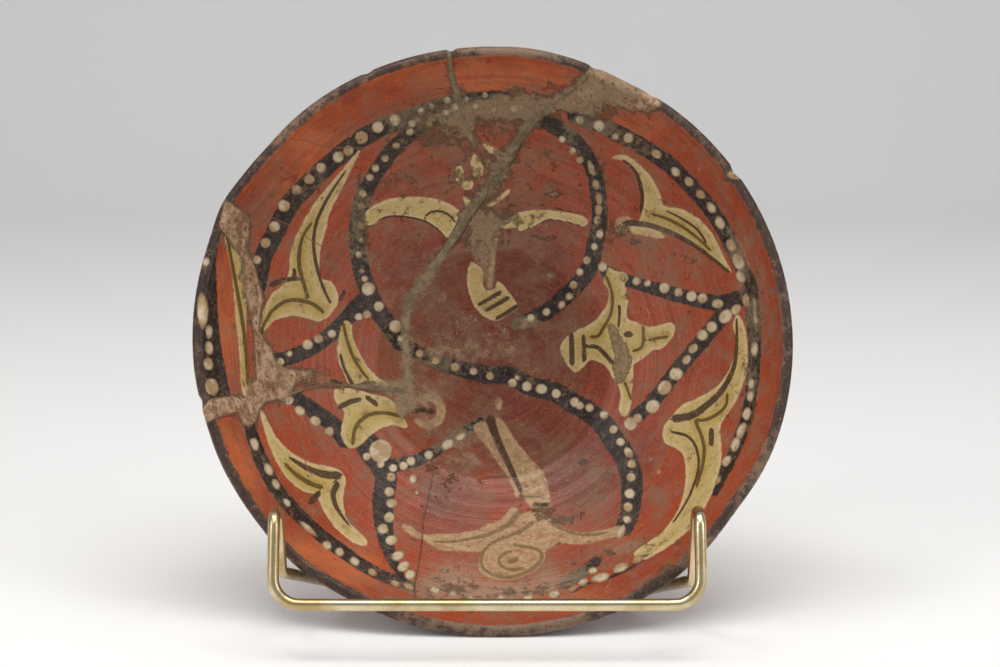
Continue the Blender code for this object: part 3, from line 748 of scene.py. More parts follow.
# The lower figure. A tall blade above a coiled stroke with two long arms, in a thinner tan
# slip, rubbed by use where the bowl is deepest. The tan smears elsewhere go with it.
BLADE_LEFT = (
    (473.4, 426), (481, 422), (487, 424), (492, 434), (497.5, 446), (504, 459), (511, 473), (517, 486),
    (520, 495), (517, 498.5), (513.5, 490), (508.6, 478), (500.9, 467.3), (493.3, 456.6), (485.6, 445.9),
    (476, 434),
)
BLADE_RIGHT = (
    (495.5, 418), (500, 418.5), (506, 425), (513.2, 436.7), (522.4, 449), (533, 461.2), (543.8, 473.5),
    (548.4, 485.7), (549.9, 498), (549.1, 507.1), (540, 509.5), (530, 507), (524, 499), (521, 488),
    (516, 474), (509.5, 459), (503, 445), (497.5, 431),
)
LEFT_ARM = (
    (513.2, 507.1), (502.5, 517.9), (487.1, 525.5), (468.8, 531.6), (450.4, 533.9), (436.6, 533.9),
    (425.9, 534.7), (418.3, 531.6), (410.6, 525.5), (405.3, 523.2), (402.2, 526.3), (407.6, 533.2),
    (415.2, 537.8), (424.4, 540.1), (433.6, 546.9), (445.8, 550.8), (465.7, 551.5), (481, 550.8),
    (497, 541), (512, 531), (524, 519),
)
RIGHT_ARM = (
    (545.3, 522.5), (563.7, 529), (579, 532), (594.3, 531.5), (609.6, 528.5), (620, 525.5), (621, 534.7),
    (609.6, 537.8), (594.3, 542.4), (579, 544.6), (563.7, 543.1), (553, 545.4), (546.8, 548.5), (538, 537),
)
COIL = (
    (497, 541), (510, 527), (523, 514), (538, 513), (552, 522), (549, 540), (546, 551), (543.8, 560.7),
    (536.1, 569.9), (523.9, 576), (510.1, 579.9), (493.3, 579.1), (481, 573), (478.7, 564), (481, 554),
    (488, 546),
)
LOWER_FIGURE_BROWN = (
    (((490.5, 420), (495, 434), (501.5, 449), (508.5, 464), (515, 478), (520.5, 490)),
     (7.5, 6.5, 5.6, 4.6, 3.4)),
    (((535, 504.2), (548, 504.2)), (3, 3)),
    (((413, 411.5), (422, 410), (431, 411.5)), (3.6, 5)),
    (((581, 462.5), (585, 461.5)), (5, 4.4)),
)
LOWER_FIGURE_OLIVE = (
    (((433.6, 541.6), (451.9, 541.6), (471.8, 538.5), (491.7, 533.2), (508.6, 524), (519.3, 512.5)),
     (1.8, 2.4, 3, 4, 4.6)),
    (((531.5, 523.2), (522.4, 530.1), (508.6, 536.2), (496.3, 540.8), (487.1, 546.9), (481.8, 556.1),
      (481.8, 565.3), (487.1, 571.4), (496.3, 576), (508.6, 577.6), (520.8, 574.5), (533, 568.4),
      (540.7, 560.7), (541.5, 553.1), (534.6, 548.5), (525.4, 546.9), (514.7, 544.6)),
     (3.6, 2.6, 2.6, 3.2, 2.8)),
    (((510.1, 551.5), (502.5, 554.6), (498.6, 560.7), (502.5, 566.8), (511.6, 569.9), (522.4, 568.4)),
     (2.6, 2.6)),
    (((511, 561.5), (515.6, 559.3)), (4.6, 4.6)),
    (((551.4, 524), (563.7, 530.1), (579, 534.4), (594.3, 534.7), (606.5, 532.4)), (1.8, 2.4, 2)),
    (((520, 496), (531, 496.8), (541, 497)), (1.8, 1.8)),
)
LEAF_HEEL = ((615, 222), (620, 217), (628, 217), (633, 223), (631, 230), (623, 233), (616, 230))
STAIN = ((499, 222), (494.5, 242), (492, 264), (489.5, 286))
STAIN_WIDTHS = (6, 5, 5, 6)
MOON = ((427, 396.5), (436, 400), (441, 408), (440, 417), (434, 423.5), (425, 425), (417, 421))
MOON_WIDTHS = (7, 9, 9, 8, 6)
TAN_DROPS = ((498.6, 403.7, 3.6, 5.5), (658.7, 472, 1.6))
tan = blank()
TAN_SHAPES = (LEAF_HEEL, BLADE_LEFT, BLADE_RIGHT, LEFT_ARM, RIGHT_ARM, COIL)
lay_figure(tan, TAN_SHAPES, LOWER_FIGURE_BROWN, LOWER_FIGURE_OLIVE)
lay_band(tan, STAIN, STAIN_WIDTHS)
lay_band(tan, MOON, MOON_WIDTHS)
for drop in TAN_DROPS:
    lay_dot(tan, *drop)

# The joins. About a dozen sherds glued edge to edge; where clay was lost the gap is filled
# with grey-tan plaster, wide across the upper middle and at the left rim, a hairline elsewhere.
TOP_JOIN = ((448, 49), (449.6, 58.4), (450.4, 70.6), (453.5, 83), (458, 95), (461, 107), (465.7, 121),
            (470.3, 135), (475, 147))
TOP_JOIN_WIDTHS = (3.5, 5.5, 6, 6, 5, 4)
MAIN_JOIN = (
    (594.3, 70.6), (585, 79.8), (573, 89), (560.6, 98), (548.4, 106), (534.6, 118), (522.4, 135),
    (511.6, 150), (501, 167), (493.3, 181), (484, 196), (471.8, 207), (462, 225), (453.5, 238),
    (444.3, 252), (435, 264.4), (424.4, 281), (412, 295), (406, 312), (405.3, 327), (405.3, 347),
    (406, 365.4), (407.6, 381), (406, 396), (404.5, 411),
)
MAIN_JOIN_WIDTHS = (3, 4.5, 7, 9, 7.5, 10, 8, 10.5, 7.5, 9, 7, 8.5, 6, 7, 4)
LEFT_FILL = (
    (225, 200), (238, 208), (249, 219), (248.7, 234.7), (244, 246), (248.7, 255), (254.5, 267), (259, 283),
    (262, 293), (263, 302), (260, 315), (259, 331.5), (266, 342), (272, 349), (275, 361), (284, 368),
    (310, 373.5), (293, 386), (290, 394.6), (284, 399), (266, 402), (260, 409), (256, 421), (249, 428),
    (243, 424), (238, 412), (216, 418), (205, 424), (200, 410), (210, 399), (232, 396), (246, 398),
    (249, 386), (256, 380), (255, 360), (254, 335), (250, 315), (246, 296), (243, 280), (246, 262),
    (231, 243), (219, 226),
)
CROSS_JOIN = ((286, 396), (300, 391), (316, 387), (334, 385), (352, 386), (380, 389), (402, 390))
CROSS_JOIN_WIDTHS = (4, 1.6, 1.6, 3, 6, 5)
RIM_PLASTER = (
    (594, 69), (606, 70), (621, 78), (645.7, 92), (662, 102), (656, 108), (648, 112.5), (641, 108.5),
    (634, 111), (627, 106.5), (619, 103.5), (612, 100), (603, 99), (598, 101.5), (592, 99.5), (589, 104),
    (584, 108.5), (577, 106), (570, 109), (563, 104.4), (569, 97), (575, 93.7), (587.6, 81.4),
)
RIM_SPOT = ((726, 173.5), (731, 171), (738, 170), (742.5, 174.5), (741, 179), (734, 179.5), (728, 178))
PALE_HAIRLINES = (
    ((284, 132.4), (291, 138.3), (307.4, 141.2), (319, 145), (331, 147), (361, 148), (372, 147),
     (384, 150)),
    ((384, 150), (410, 147), (440, 145), (466, 144)),
    ((256, 201.4), (266.3, 213), (272, 217.5), (285.3, 223.4), (295.6, 229), (306, 236.6), (314.7, 242.4),
     (329.4, 249.8), (345.5, 260), (354, 267)),
    ((292.7, 421), (297, 431), (304.4, 450), (306, 465), (312, 476)),
)
PALE_HAIRLINE_WIDTHS = (1.1, 1.4, 1.1)
JOIN_PINK_EDGE = ((484, 201), (476, 212), (468, 224.4))
JOIN_PINK_EDGE_WIDTHS = (2.4, 2)
LOWER_CRACK = ((438, 463), (432, 480), (428.3, 500), (423.7, 520), (422, 541), (419, 563), (416.8, 575),
               (414.5, 587), (415.3, 603))
LOWER_CRACK_WIDTHS = (1.2, 1.7, 1.9, 1.6, 1.3)
# A painted shadow: a dark line along one side of the main join, laid with the open crack.
JOIN_SHADOW = ((590, 76), (571, 91), (545, 110), (526, 132), (515, 159), (491, 181), (486, 198),
               (470.6, 219), (456.6, 242), (447, 252))
JOIN_SHADOW_WIDTHS = (0.6, 1.0, 0.6, 1.1, 0.7, 1.2, 0.6)
filler = blank()
plaster = blank()
hair = (blank(), blank())
crack_and_shadow = (blank(), blank())
lay_band(filler, TOP_JOIN, TOP_JOIN_WIDTHS)
lay_band(filler, MAIN_JOIN, MAIN_JOIN_WIDTHS)
lay_band(filler, CROSS_JOIN, CROSS_JOIN_WIDTHS)
for outline in (LEFT_FILL, RIM_PLASTER, RIM_SPOT):
    lay_shape(plaster, outline, soft=True)
for points in PALE_HAIRLINES:
    lay_line(hair, points, PALE_HAIRLINE_WIDTHS)
lay_line(hair, JOIN_PINK_EDGE, JOIN_PINK_EDGE_WIDTHS)
lay_line(crack_and_shadow, LOWER_CRACK, LOWER_CRACK_WIDTHS)
lay_line(crack_and_shadow, JOIN_SHADOW, JOIN_SHADOW_WIDTHS)

# What the ground has left on it. A grey-tan crust clings along the joins, round the bottom
# and in the upper middle, and lime has dried to a pale wash over the lowest part.
FILLER_CRUST = 0.30
FILLER_CRUST_WIDTH = 8.0
PLASTER_CRUST = 0.40
PLASTER_CRUST_WIDTH = 7.0
CRUST_CLOUDS = (
    (506, 107, 50, 15, 1.05), (430, 118, 40, 12, 0.55), (455, 128, 20, 14, 0.30), (500, 165, 20, 30, 0.34),
    (476, 238, 10, 28, 0.62), (490, 256, 9, 28, 0.50), (490, 226, 14, 18, 0.46), (430, 300, 22, 36, 0.22),
    (450, 352, 46, 14, 0.34), (425, 400, 24, 26, 0.46), (466, 172, 16, 24, 0.26), (512, 222, 24, 12, 0.24),
    (470, 440, 36, 20, 0.34), (455, 474, 34, 18, 0.30), (375, 385, 24, 6, 0.50), (398, 392, 12, 26, 0.34),
    (450, 572, 36, 14, 0.14), (430, 590, 28, 9, 0.20), (480, 592, 55, 9, 0.28), (545, 590, 36, 10, 0.22),
    (556, 570, 26, 14, 0.16), (541, 511, 14, 8, 0.42), (560, 520, 22, 7, 0.38), (310, 375, 16, 8, 0.40),
    (600, 555, 20, 12, 0.16), (615, 230, 12, 12, 0.42), (640, 242, 22, 6, 0.30), (632, 540, 18, 12, 0.14),
    (650, 548, 26, 10, 0.20), (652, 585, 14, 6, 0.46), (670, 571, 14, 7, 0.44), (688, 556, 12, 8, 0.34),
    (616, 88, 44, 22, 0.66), (552.3, 194.4, 8, 2.4, 0.60), (543.4, 238.5, 7, 3, 0.55),
    (551, 276, 7, 3, 0.60), (540, 160, 44, 26, 0.09), (420, 140, 40, 10, 0.30), (362, 215, 9, 46, 0.42),
    (390, 185, 24, 40, 0.14), (250, 250, 14, 40, 0.20), (520, 350, 60, 22, 0.14), (470, 320, 50, 36, 0.16),
    (300, 190, 24, 14, 0.22), (670, 255, 30, 10, 0.20), (690, 275, 34, 8, 0.15), (755, 320, 9, 40, 0.42),
    (742, 400, 9, 40, 0.22), (590, 112, 16, 12, 0.40), (600, 190, 8, 40, 0.16), (530, 322, 26, 8, 0.34),
    (660, 200, 70, 70, 0.04), (500, 200, 80, 60, 0.08),
)
WASH_CLOUDS = (
    (452, 574, 44, 20, 0.55), (490, 592, 76, 12, 0.85), (550, 576, 24, 16, 0.50), (626, 546, 30, 12, 0.44),
    (560, 522, 30, 12, 0.40), (470, 470, 50, 34, 0.34), (580, 460, 34, 20, 0.20), (490, 350, 80, 30, 0.22),
    (480, 150, 60, 26, 0.22), (540, 250, 60, 50, 0.16), (670, 258, 50, 26, 0.30), (425, 400, 30, 26, 0.30),
    (742, 268, 8, 34, 0.44), (752, 370, 7, 60, 0.30), (648, 232, 26, 12, 0.34), (640, 146, 34, 16, 0.22),
)
STAR_CRUST = ((608.8, 323.8), (616.4, 328.1), (624, 341.1), (630.5, 354.1), (631.6, 365), (627.2, 374.7),
              (620.7, 383.4), (614.2, 380.2), (613.1, 367.1), (614.2, 353), (611, 340), (608.3, 328.1))
STAR_CRUST_SOFTNESS = 2.0
STAR_CRUST_MOST = 0.62


def fringe(field, strength, width):
    """Crust that is strongest on a fill and thins out across a width beside it."""
    return strength * np.clip(1.0 - np.maximum(field, 0.0) / width, 0.0, 1.0)


crust = fringe(filler, FILLER_CRUST, FILLER_CRUST_WIDTH)
crust += fringe(plaster, PLASTER_CRUST, PLASTER_CRUST_WIDTH)
star_edge = blank()
lay_shape(star_edge, STAR_CRUST)
crust += np.clip(0.5 - star_edge / STAR_CRUST_SOFTNESS, 0.0, STAR_CRUST_MOST)
lay_clouds(crust, CRUST_CLOUDS)
wash = np.zeros(len(clay))
lay_clouds(wash, WASH_CLOUDS)

# The red slip. Orange-red near the rim and maroon in the middle, partly the slip's own tone
# and partly painted shade that darkens the deep middle. Round the lip it is worn pale in places.
LIP_WEAR_CLOUDS = (
    (795, 330, 26, 90, 0.10), (765, 470, 34, 40, 0.30), (700, 556, 30, 24, 0.34),
    (520, 624, 110, 12, 0.50), (520, 48, 70, 12, 0.60), (300, 120, 60, 40, 0.25),
)
MAROON_AND_SHADE_CLOUDS = (
    (470, 300, 105, 100, 0.75), (500, 400, 110, 60, 0.55), (560, 470, 60, 50, 0.55),
    (450, 490, 50, 50, 0.40), (540, 250, 60, 70, 0.40), (500, 560, 110, 26, 0.25), (400, 250, 40, 60, 0.25),
    (640, 430, 50, 60, 0.12), (560, 350, 60, 50, 0.30), (690, 350, 30, 40, 0.25), (220, 330, 26, 80, -0.45),
    (240, 480, 30, 60, -0.50), (330, 565, 80, 34, -0.60), (600, 600, 60, 14, -0.45),
    (300, 150, 60, 50, -0.34), (480, 78, 150, 22, -0.42), (640, 112, 60, 34, -0.34),
    (600, 505, 60, 50, 0.24), (350, 500, 34, 60, 0.20), (440, 510, 40, 40, 0.30), (560, 440, 60, 40, 0.20),
    (650, 470, 40, 50, 0.24),
)
maroon_and_shade = np.zeros(len(clay))
lip_wear = np.zeros(len(clay))
lay_clouds(maroon_and_shade, MAROON_AND_SHADE_CLOUDS)
lay_clouds(lip_wear, LIP_WEAR_CLOUDS)

# The relief of paint, plaster and joins is a few tenths of a millimetre. It goes into the
# clay itself, along the surface's own normals.
FILLER_RISE = 0.00028
CREAM_RISE = 0.00010
HAIR_DEPTH = 0.00012
HAIR_SPREAD = 1.5
EDGE_SOFTNESS = 2.5
SHARP_ANGLE = math.radians(50.0)
MILLIMETRES = 1000.0


def raised(field, height):
    """Height that climbs from nothing to its full value across the edge of a mark."""
    return height * np.clip(0.5 - field / EDGE_SOFTNESS, 0.0, 1.0)


bowl_skin.verts.ensure_lookup_table()
normals = np.array([tuple(vertex.normal) for vertex in bowl_skin.verts]) @ lean_turn.T
rise = raised(np.minimum(filler, plaster), FILLER_RISE)
rise = np.maximum(rise, raised(np.minimum(cream, np.minimum(*beads)), CREAM_RISE))
rise -= HAIR_DEPTH * np.clip(HAIR_SPREAD - np.minimum(hair[1], crack_and_shadow[1]), 0.0, 1.0)
leaning += normals * (rise * on_inside)[:, None]
solid_low, solid_high = (np.array(corner) for corner in solid_bounds)
leaning = np.clip(leaning, solid_low, solid_high)
for vertex, spot in zip(bowl_skin.verts, leaning):
    vertex.co = spot
bowl_mesh = bpy.data.meshes.new("painted_bowl")
bowl_skin.to_mesh(bowl_mesh)
bowl_skin.free()
bowl_mesh.shade_smooth()
bowl_mesh.set_sharp_from_angle(angle=SHARP_ANGLE)
marks = {
    "band": band, "bead_a": beads[0], "bead_b": beads[1], "cream": cream, "tan": tan, "worn": worn,
    "filler": filler, "plaster": plaster, "crust": crust, "wash": wash, "maroon_and_shade": maroon_and_shade,
    "lip_wear": lip_wear, "off_axis": off_axis * MILLIMETRES,
    "underside": np.where(painted, 0.0, 1.0),
}
for kind, (sides, reaches) in (("brown", brown), ("olive", olive), ("hair", hair), ("crack_and_shadow", crack_and_shadow)):
    marks[kind + "_side"] = sides
    marks[kind + "_reach"] = reaches
for name, values in marks.items():
    mark = bowl_mesh.attributes.new(name, "FLOAT", "POINT")
    mark.data.foreach_set("value", np.asarray(values, np.float32))
bowl = bpy.data.objects.new("painted_bowl", bowl_mesh)
bpy.context.scene.collection.objects.link(bowl)
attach(bowl, "root")
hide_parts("bowl")


# The finish of the bowl. Slip colours under a thin worn glaze, brushed at their edges and
# rubbed in bands, bare clay on the lip and foot, and grains of sand and lime in the body.
class Finish:
    """A material's node tree, with short names for the few nodes it is made of."""

    def __init__(self, name):
        self.material = bpy.data.materials.new(name)
        self.material.use_nodes = True
        self.tree = self.material.node_tree
        self.shader = self.tree.nodes["Principled BSDF"]
        self.place = self.node("ShaderNodeTexCoord").outputs["Object"]

    def node(self, kind, **settings):
        made = self.tree.nodes.new(kind)
        for key, value in settings.items():
            setattr(made, key, value)
        return made

    def feed(self, socket, value):
        if isinstance(value, bpy.types.NodeSocket):
            self.tree.links.new(value, socket)
        else:
            socket.default_value = value

    def set(self, name, value):
        self.feed(self.shader.inputs[name], value)

    def mark(self, name):
        return self.node("ShaderNodeAttribute", attribute_name=name).outputs["Fac"]

    def math(self, operation, *values):
        made = self.node("ShaderNodeMath", operation=operation)
        for socket, value in zip(made.inputs, values):
            self.feed(socket, value)
        return made.outputs[0]

    def both(self, first, second):
        return self.math("MULTIPLY", first, second)

    def add(self, value, more, amount):
        """A value with some of another added to it."""
        return self.math("MULTIPLY_ADD", more, amount, value)

    def vary(self, value, pattern, amount):
        """A value that a pattern moves up and down, by at most half the amount."""
        return self.add(value, self.math("SUBTRACT", pattern, 0.5), amount)

    def ramp(self, value, start, end, low=0.0, high=1.0):
        """Goes smoothly from low to high as the value goes from start to end."""
        made = self.node("ShaderNodeMapRange", interpolation_type="SMOOTHSTEP")
        for socket, number in zip(made.inputs, (value, start, end, low, high)):
            self.feed(socket, number)
        return made.outputs[0]

    def noise(self, scale, detail=3.0, roughness=0.5, place=None):
        made = self.node("ShaderNodeTexNoise")
        self.feed(made.inputs["Vector"], place or self.place)
        self.feed(made.inputs["Scale"], scale)
        self.feed(made.inputs["Detail"], detail)
        self.feed(made.inputs["Roughness"], roughness)
        return made.outputs["Fac"]

    def mix(self, share, first, second):
        """One colour going over to another. A Mix node's colour sockets are 6, 7 and out 2."""
        made = self.node("ShaderNodeMix", data_type="RGBA")
        for socket, value in zip((made.inputs[0], made.inputs[6], made.inputs[7]), (share, first, second)):
            self.feed(socket, value)
        return made.outputs[2]

    def tint(self, first, second, value, start, end, most=1.0):
        """One colour going over to another as a value goes from start to end."""
        return self.mix(self.ramp(value, start, end, high=most), first, second)

    def bump(self, height, strength, distance, normal=None):
        made = self.node("ShaderNodeBump")
        self.feed(made.inputs["Height"], height)
        self.feed(made.inputs["Strength"], strength)
        self.feed(made.inputs["Distance"], distance)
        if normal:
            self.feed(made.inputs["Normal"], normal)
        return made.outputs["Normal"]


def tone(red, green, blue):
    """A colour as a painter's chart gives it, from 0 to 255, made linear."""
    shares = [part / 255 for part in (red, green, blue)]
    linear = [part / 12.92 if part <= 0.04045 else ((part + 0.055) / 1.055) ** 2.4 for part in shares]
    return (*linear, 1.0)


pottery = Finish("slipped_pottery")
ragged = pottery.noise(scale=380.0, detail=5.0, roughness=0.62)
grain = pottery.noise(scale=1500.0, detail=4.0, roughness=0.70)
mottle = pottery.noise(scale=120.0, detail=4.0, roughness=0.6)
drift = pottery.noise(scale=28.0, detail=3.0, roughness=0.5)
patches = pottery.noise(scale=230.0, detail=8.0, roughness=0.75)
nicks = pottery.noise(scale=520.0, detail=5.0, roughness=0.68)
drops = pottery.noise(scale=170.0, detail=1.0, roughness=0.5)
from_axis = pottery.mark("off_axis")

# Rings left by the potter's fingers and by polishing, finely spaced and broken up.
ACROSS_SCALE = 14.0
OUTWARD_SCALE = 0.75
upright = pottery.node("ShaderNodeMapping", vector_type="TEXTURE")
upright.inputs["Location"].default_value = tuple(lean_place)
upright.inputs["Rotation"].default_value = (math.pi / 2 - LEAN, 0.0, 0.0)
pottery.feed(upright.inputs["Vector"], pottery.place)
parts = pottery.node("ShaderNodeSeparateXYZ")
pottery.feed(parts.inputs[0], upright.outputs[0])
ring_place = pottery.node("ShaderNodeCombineXYZ")
pottery.feed(ring_place.inputs[0], pottery.both(parts.outputs[0], ACROSS_SCALE))
pottery.feed(ring_place.inputs[1], pottery.both(parts.outputs[1], ACROSS_SCALE))
pottery.feed(ring_place.inputs[2], pottery.both(from_axis, OUTWARD_SCALE))
streaks = pottery.noise(scale=1.0, detail=4.0, roughness=0.65, place=ring_place.outputs[0])

# How slip covers the clay: solid marks, and thin strokes whose edges are in half widths.
STROKE_EDGE = (1.45, 0.95)
STROKE_END = 0.5


def covered(edge, raggedness, softness=0.7):
    """How far slip covers the clay, from the distance to its edge."""
    return pottery.ramp(pottery.vary(edge, ragged, raggedness), softness, -softness)


def stroke(name, raggedness, closeness=1.9):
    """How far a thin stroke covers the clay."""
    middle = pottery.math("ABSOLUTE", pottery.mark(name + "_side"))
    line = pottery.ramp(pottery.vary(middle, ragged, raggedness), *STROKE_EDGE)
    close = pottery.ramp(pottery.mark(name + "_reach"), closeness, closeness - STROKE_END)
    return pottery.both(line, close)


RED_SLIP = tone(152, 64, 32)
MAROON_SLIP = tone(104, 46, 32)
ORANGE_SLIP = tone(190, 100, 56)
DULL_SLIP = tone(128, 58, 36)
RING_DARK = tone(92, 44, 36)
RING_LIGHT = tone(166, 86, 56)
# The maroon share is partly the slip's own tone and partly painted shade, darker in the middle.
maroon_and_shade_share = pottery.vary(pottery.mark("maroon_and_shade"), mottle, 0.9)
color = pottery.tint(RED_SLIP, MAROON_SLIP, maroon_and_shade_share, 0.10, 0.85)
color = pottery.tint(color, ORANGE_SLIP, maroon_and_shade_share, -0.05, -0.55)
color = pottery.tint(color, DULL_SLIP, drift, 0.35, 0.75, most=0.5)
color = pottery.tint(color, RING_DARK, streaks, 0.48, 0.66, most=0.34)
color = pottery.tint(color, RING_LIGHT, streaks, 0.46, 0.30, most=0.22)

# Grime of use and burial: a thin grey-brown film, thickest where there is crust.
FILM_DARK = tone(96, 76, 58)
FILM_LIGHT = tone(142, 112, 88)
film = pottery.add(pottery.noise(scale=95.0, detail=9.0, roughness=0.74), pottery.mark("crust"), 0.30)
film_share = pottery.ramp(film, 0.44, 0.66, high=0.66)
# The film thins out towards the rim, following the same partly painted shade of the ground.
film_share = pottery.both(film_share, pottery.ramp(maroon_and_shade_share, -0.6, 0.1, 0.5, 1.0))
color = pottery.mix(film_share, color, pottery.tint(FILM_DARK, FILM_LIGHT, grain, 0.38, 0.62))

# The black bands, rubbed to grey where hands and burial have worn them, and nicked.
BAND_BLACK = tone(34, 27, 26)
BAND_GREY = tone(66, 56, 47)
BAND_RUBBED = tone(110, 97, 75)
rubbed = pottery.add(pottery.mark("worn"), mottle, 0.75)
band_share = pottery.both(covered(pottery.mark("band"), 4.0, 0.9), pottery.ramp(rubbed, 0.95, 0.70))
band_share = pottery.both(band_share, pottery.ramp(nicks, 0.68, 0.60, 0.30, 1.0))
band_tone = pottery.tint(BAND_BLACK, BAND_GREY, patches, 0.44, 0.66)
rubbed_spots = pottery.vary(rubbed, nicks, 0.9)
band_tone = pottery.tint(band_tone, BAND_RUBBED, rubbed_spots, 0.46, 0.66, most=0.85)
color = pottery.mix(band_share, color, band_tone)

# The thin tan slip, the thicker cream slip, and the olive and brown lines over them.
TAN_LIGHT = tone(178, 149, 110)
TAN_DARK = tone(150, 121, 84)
CREAM_EDGE = tone(190, 168, 122)
CREAM_MIDDLE = tone(180, 156, 100)
CREAM_BY_OLIVE = tone(160, 136, 54)
CREAM_PALE = tone(206, 180, 144)
CREAM_SOILED = tone(140, 110, 70)
OLIVE = tone(86, 64, 18)
BROWN = tone(58, 36, 18)
tan_mark = pottery.mark("tan")
tan_share = pottery.both(covered(tan_mark, 5.0, 1.2), pottery.ramp(patches, 0.66, 0.46, 0.34, 0.92))
color = pottery.mix(tan_share, color, pottery.tint(TAN_LIGHT, TAN_DARK, nicks, 0.36, 0.64))
cream_mark = pottery.mark("cream")
cream_share = pottery.both(covered(cream_mark, 3.6, 0.8), pottery.ramp(nicks, 0.68, 0.60, 0.35, 1.0))
cream_tone = pottery.tint(CREAM_EDGE, CREAM_MIDDLE, cream_mark, -1.0, -5.0)
cream_tone = pottery.tint(cream_tone, CREAM_BY_OLIVE, pottery.mark("olive_reach"), 6.5, 1.5, most=0.55)
# Cream is paler towards the rim, following the same partly painted shade of the ground.
cream_tone = pottery.tint(cream_tone, CREAM_PALE, maroon_and_shade_share, -0.1, -0.5, most=0.7)
cream_tone = pottery.tint(cream_tone, CREAM_SOILED, patches, 0.48, 0.66, most=0.60)
color = pottery.mix(cream_share, color, cream_tone)
olive_share = pottery.both(stroke("olive", 0.9), pottery.ramp(tan_mark, 0.0, 6.0, 0.66, 0.95))
color = pottery.mix(olive_share, color, OLIVE)
brown_share = pottery.both(stroke("brown", 0.9), pottery.ramp(nicks, 0.70, 0.60, 0.4, 0.94))
color = pottery.mix(brown_share, color, BROWN)

# The lip is wiped with dark slip, pitted and worn pale in places. Its outer edge is pale, partly bare clay
# and partly a painted highlight. The edges of slip and of the pale edge are in millimetres from the bowl's
# axis.
LIP_DARK = tone(48, 35, 28)
LIP_RUBBED = tone(116, 96, 76)
LIP_BARE_AND_HIGHLIGHT = tone(140, 118, 100)
LIP_SLIP_EDGE = (100.8, 101.6)
LIP_BARE_AND_HIGHLIGHT_EDGE = (106.6, 107.4)
lip_place = pottery.vary(from_axis, ragged, 1.6)
lip_share = pottery.ramp(lip_place, *LIP_SLIP_EDGE)
lip_share = pottery.both(lip_share, pottery.ramp(patches, 0.66, 0.54, 0.62, 0.97))
lip_rubbed = pottery.add(patches, pottery.mark("lip_wear"), 0.5)
lip_tone = pottery.tint(LIP_DARK, LIP_RUBBED, lip_rubbed, 0.51, 0.74)
color = pottery.mix(lip_share, color, lip_tone)
# The pale outer edge of the lip: partly bare clay, partly a painted highlight.
color = pottery.tint(color, LIP_BARE_AND_HIGHLIGHT, pottery.add(from_axis, patches, 4.0), *LIP_BARE_AND_HIGHLIGHT_EDGE, most=0.8)

# Lime has dried to a pale wash in the lowest part, and thinly elsewhere.
WASH_DARK = tone(146, 116, 92)
WASH_LIGHT = tone(176, 148, 122)
wash_share = pottery.vary(pottery.mark("wash"), patches, 1.2)
wash_share = pottery.vary(wash_share, streaks, 0.8)
wash_share = pottery.ramp(wash_share, 0.10, 0.80, high=0.62)
color = pottery.mix(wash_share, color, pottery.tint(WASH_DARK, WASH_LIGHT, grain, 0.38, 0.60))

# The crust lies in crumbs over the slip.
CRUST_DARK = tone(122, 101, 76)
CRUST_LIGHT = tone(158, 134, 106)
CRUST_PITS = tone(88, 72, 54)
crust_mark = pottery.mark("crust")
crust_share = pottery.vary(crust_mark, patches, 2.2)
crust_share = pottery.vary(crust_share, grain, 0.6)
crust_share = pottery.ramp(crust_share, 0.26, 0.66, high=0.88)
crust_tone = pottery.tint(CRUST_DARK, CRUST_LIGHT, grain, 0.38, 0.60)
crust_tone = pottery.tint(crust_tone, CRUST_PITS, nicks, 0.56, 0.66, most=0.5)
color = pottery.mix(crust_share, color, crust_tone)

# The drops of pale slip are thick and stand out of the crust, with a soiled edge.
BEAD_LIGHT = tone(190, 174, 144)
BEAD_DARK = tone(162, 134, 98)
BEAD_EDGE = tone(122, 98, 74)
bead_edge = pottery.math("MINIMUM", pottery.mark("bead_a"), pottery.mark("bead_b"))
bead_share = pottery.both(covered(bead_edge, 2.6), pottery.ramp(nicks, 0.68, 0.60, 0.45, 1.0))
bead_share = pottery.both(bead_share, pottery.ramp(crust_share, 0.20, 0.90, 1.0, 0.80))
bead_tone = pottery.tint(BEAD_LIGHT, BEAD_DARK, drops, 0.40, 0.62)
bead_tone = pottery.tint(bead_tone, BEAD_EDGE, bead_edge, -1.8, -0.4, most=0.55)
color = pottery.mix(bead_share, color, bead_tone)

# The fillers: grey-tan along the joins, pinker and pitted where plaster makes up lost clay.
FILLER_DARK = tone(110, 96, 72)
FILLER_LIGHT = tone(146, 128, 102)
PLASTER_DARK = tone(130, 94, 66)
PLASTER_LIGHT = tone(188, 156, 126)
PLASTER_GREY = tone(146, 126, 98)
PLASTER_PITS = tone(88, 66, 50)
filler_share = pottery.ramp(pottery.vary(pottery.mark("filler"), patches, 6.0), 0.8, -1.0)
color = pottery.mix(filler_share, color, pottery.tint(FILLER_DARK, FILLER_LIGHT, patches, 0.40, 0.62))
plaster_share = pottery.vary(pottery.mark("plaster"), patches, 12.0)
plaster_share = pottery.ramp(plaster_share, 1.2, -1.2, high=0.97)
plaster_tone = pottery.tint(PLASTER_DARK, PLASTER_LIGHT, patches, 0.40, 0.60)
plaster_tone = pottery.tint(plaster_tone, PLASTER_GREY, crust_mark, 0.70, 1.0, most=0.75)
plaster_tone = pottery.tint(plaster_tone, PLASTER_PITS, nicks, 0.54, 0.64, most=0.80)
color = pottery.mix(plaster_share, color, plaster_tone)

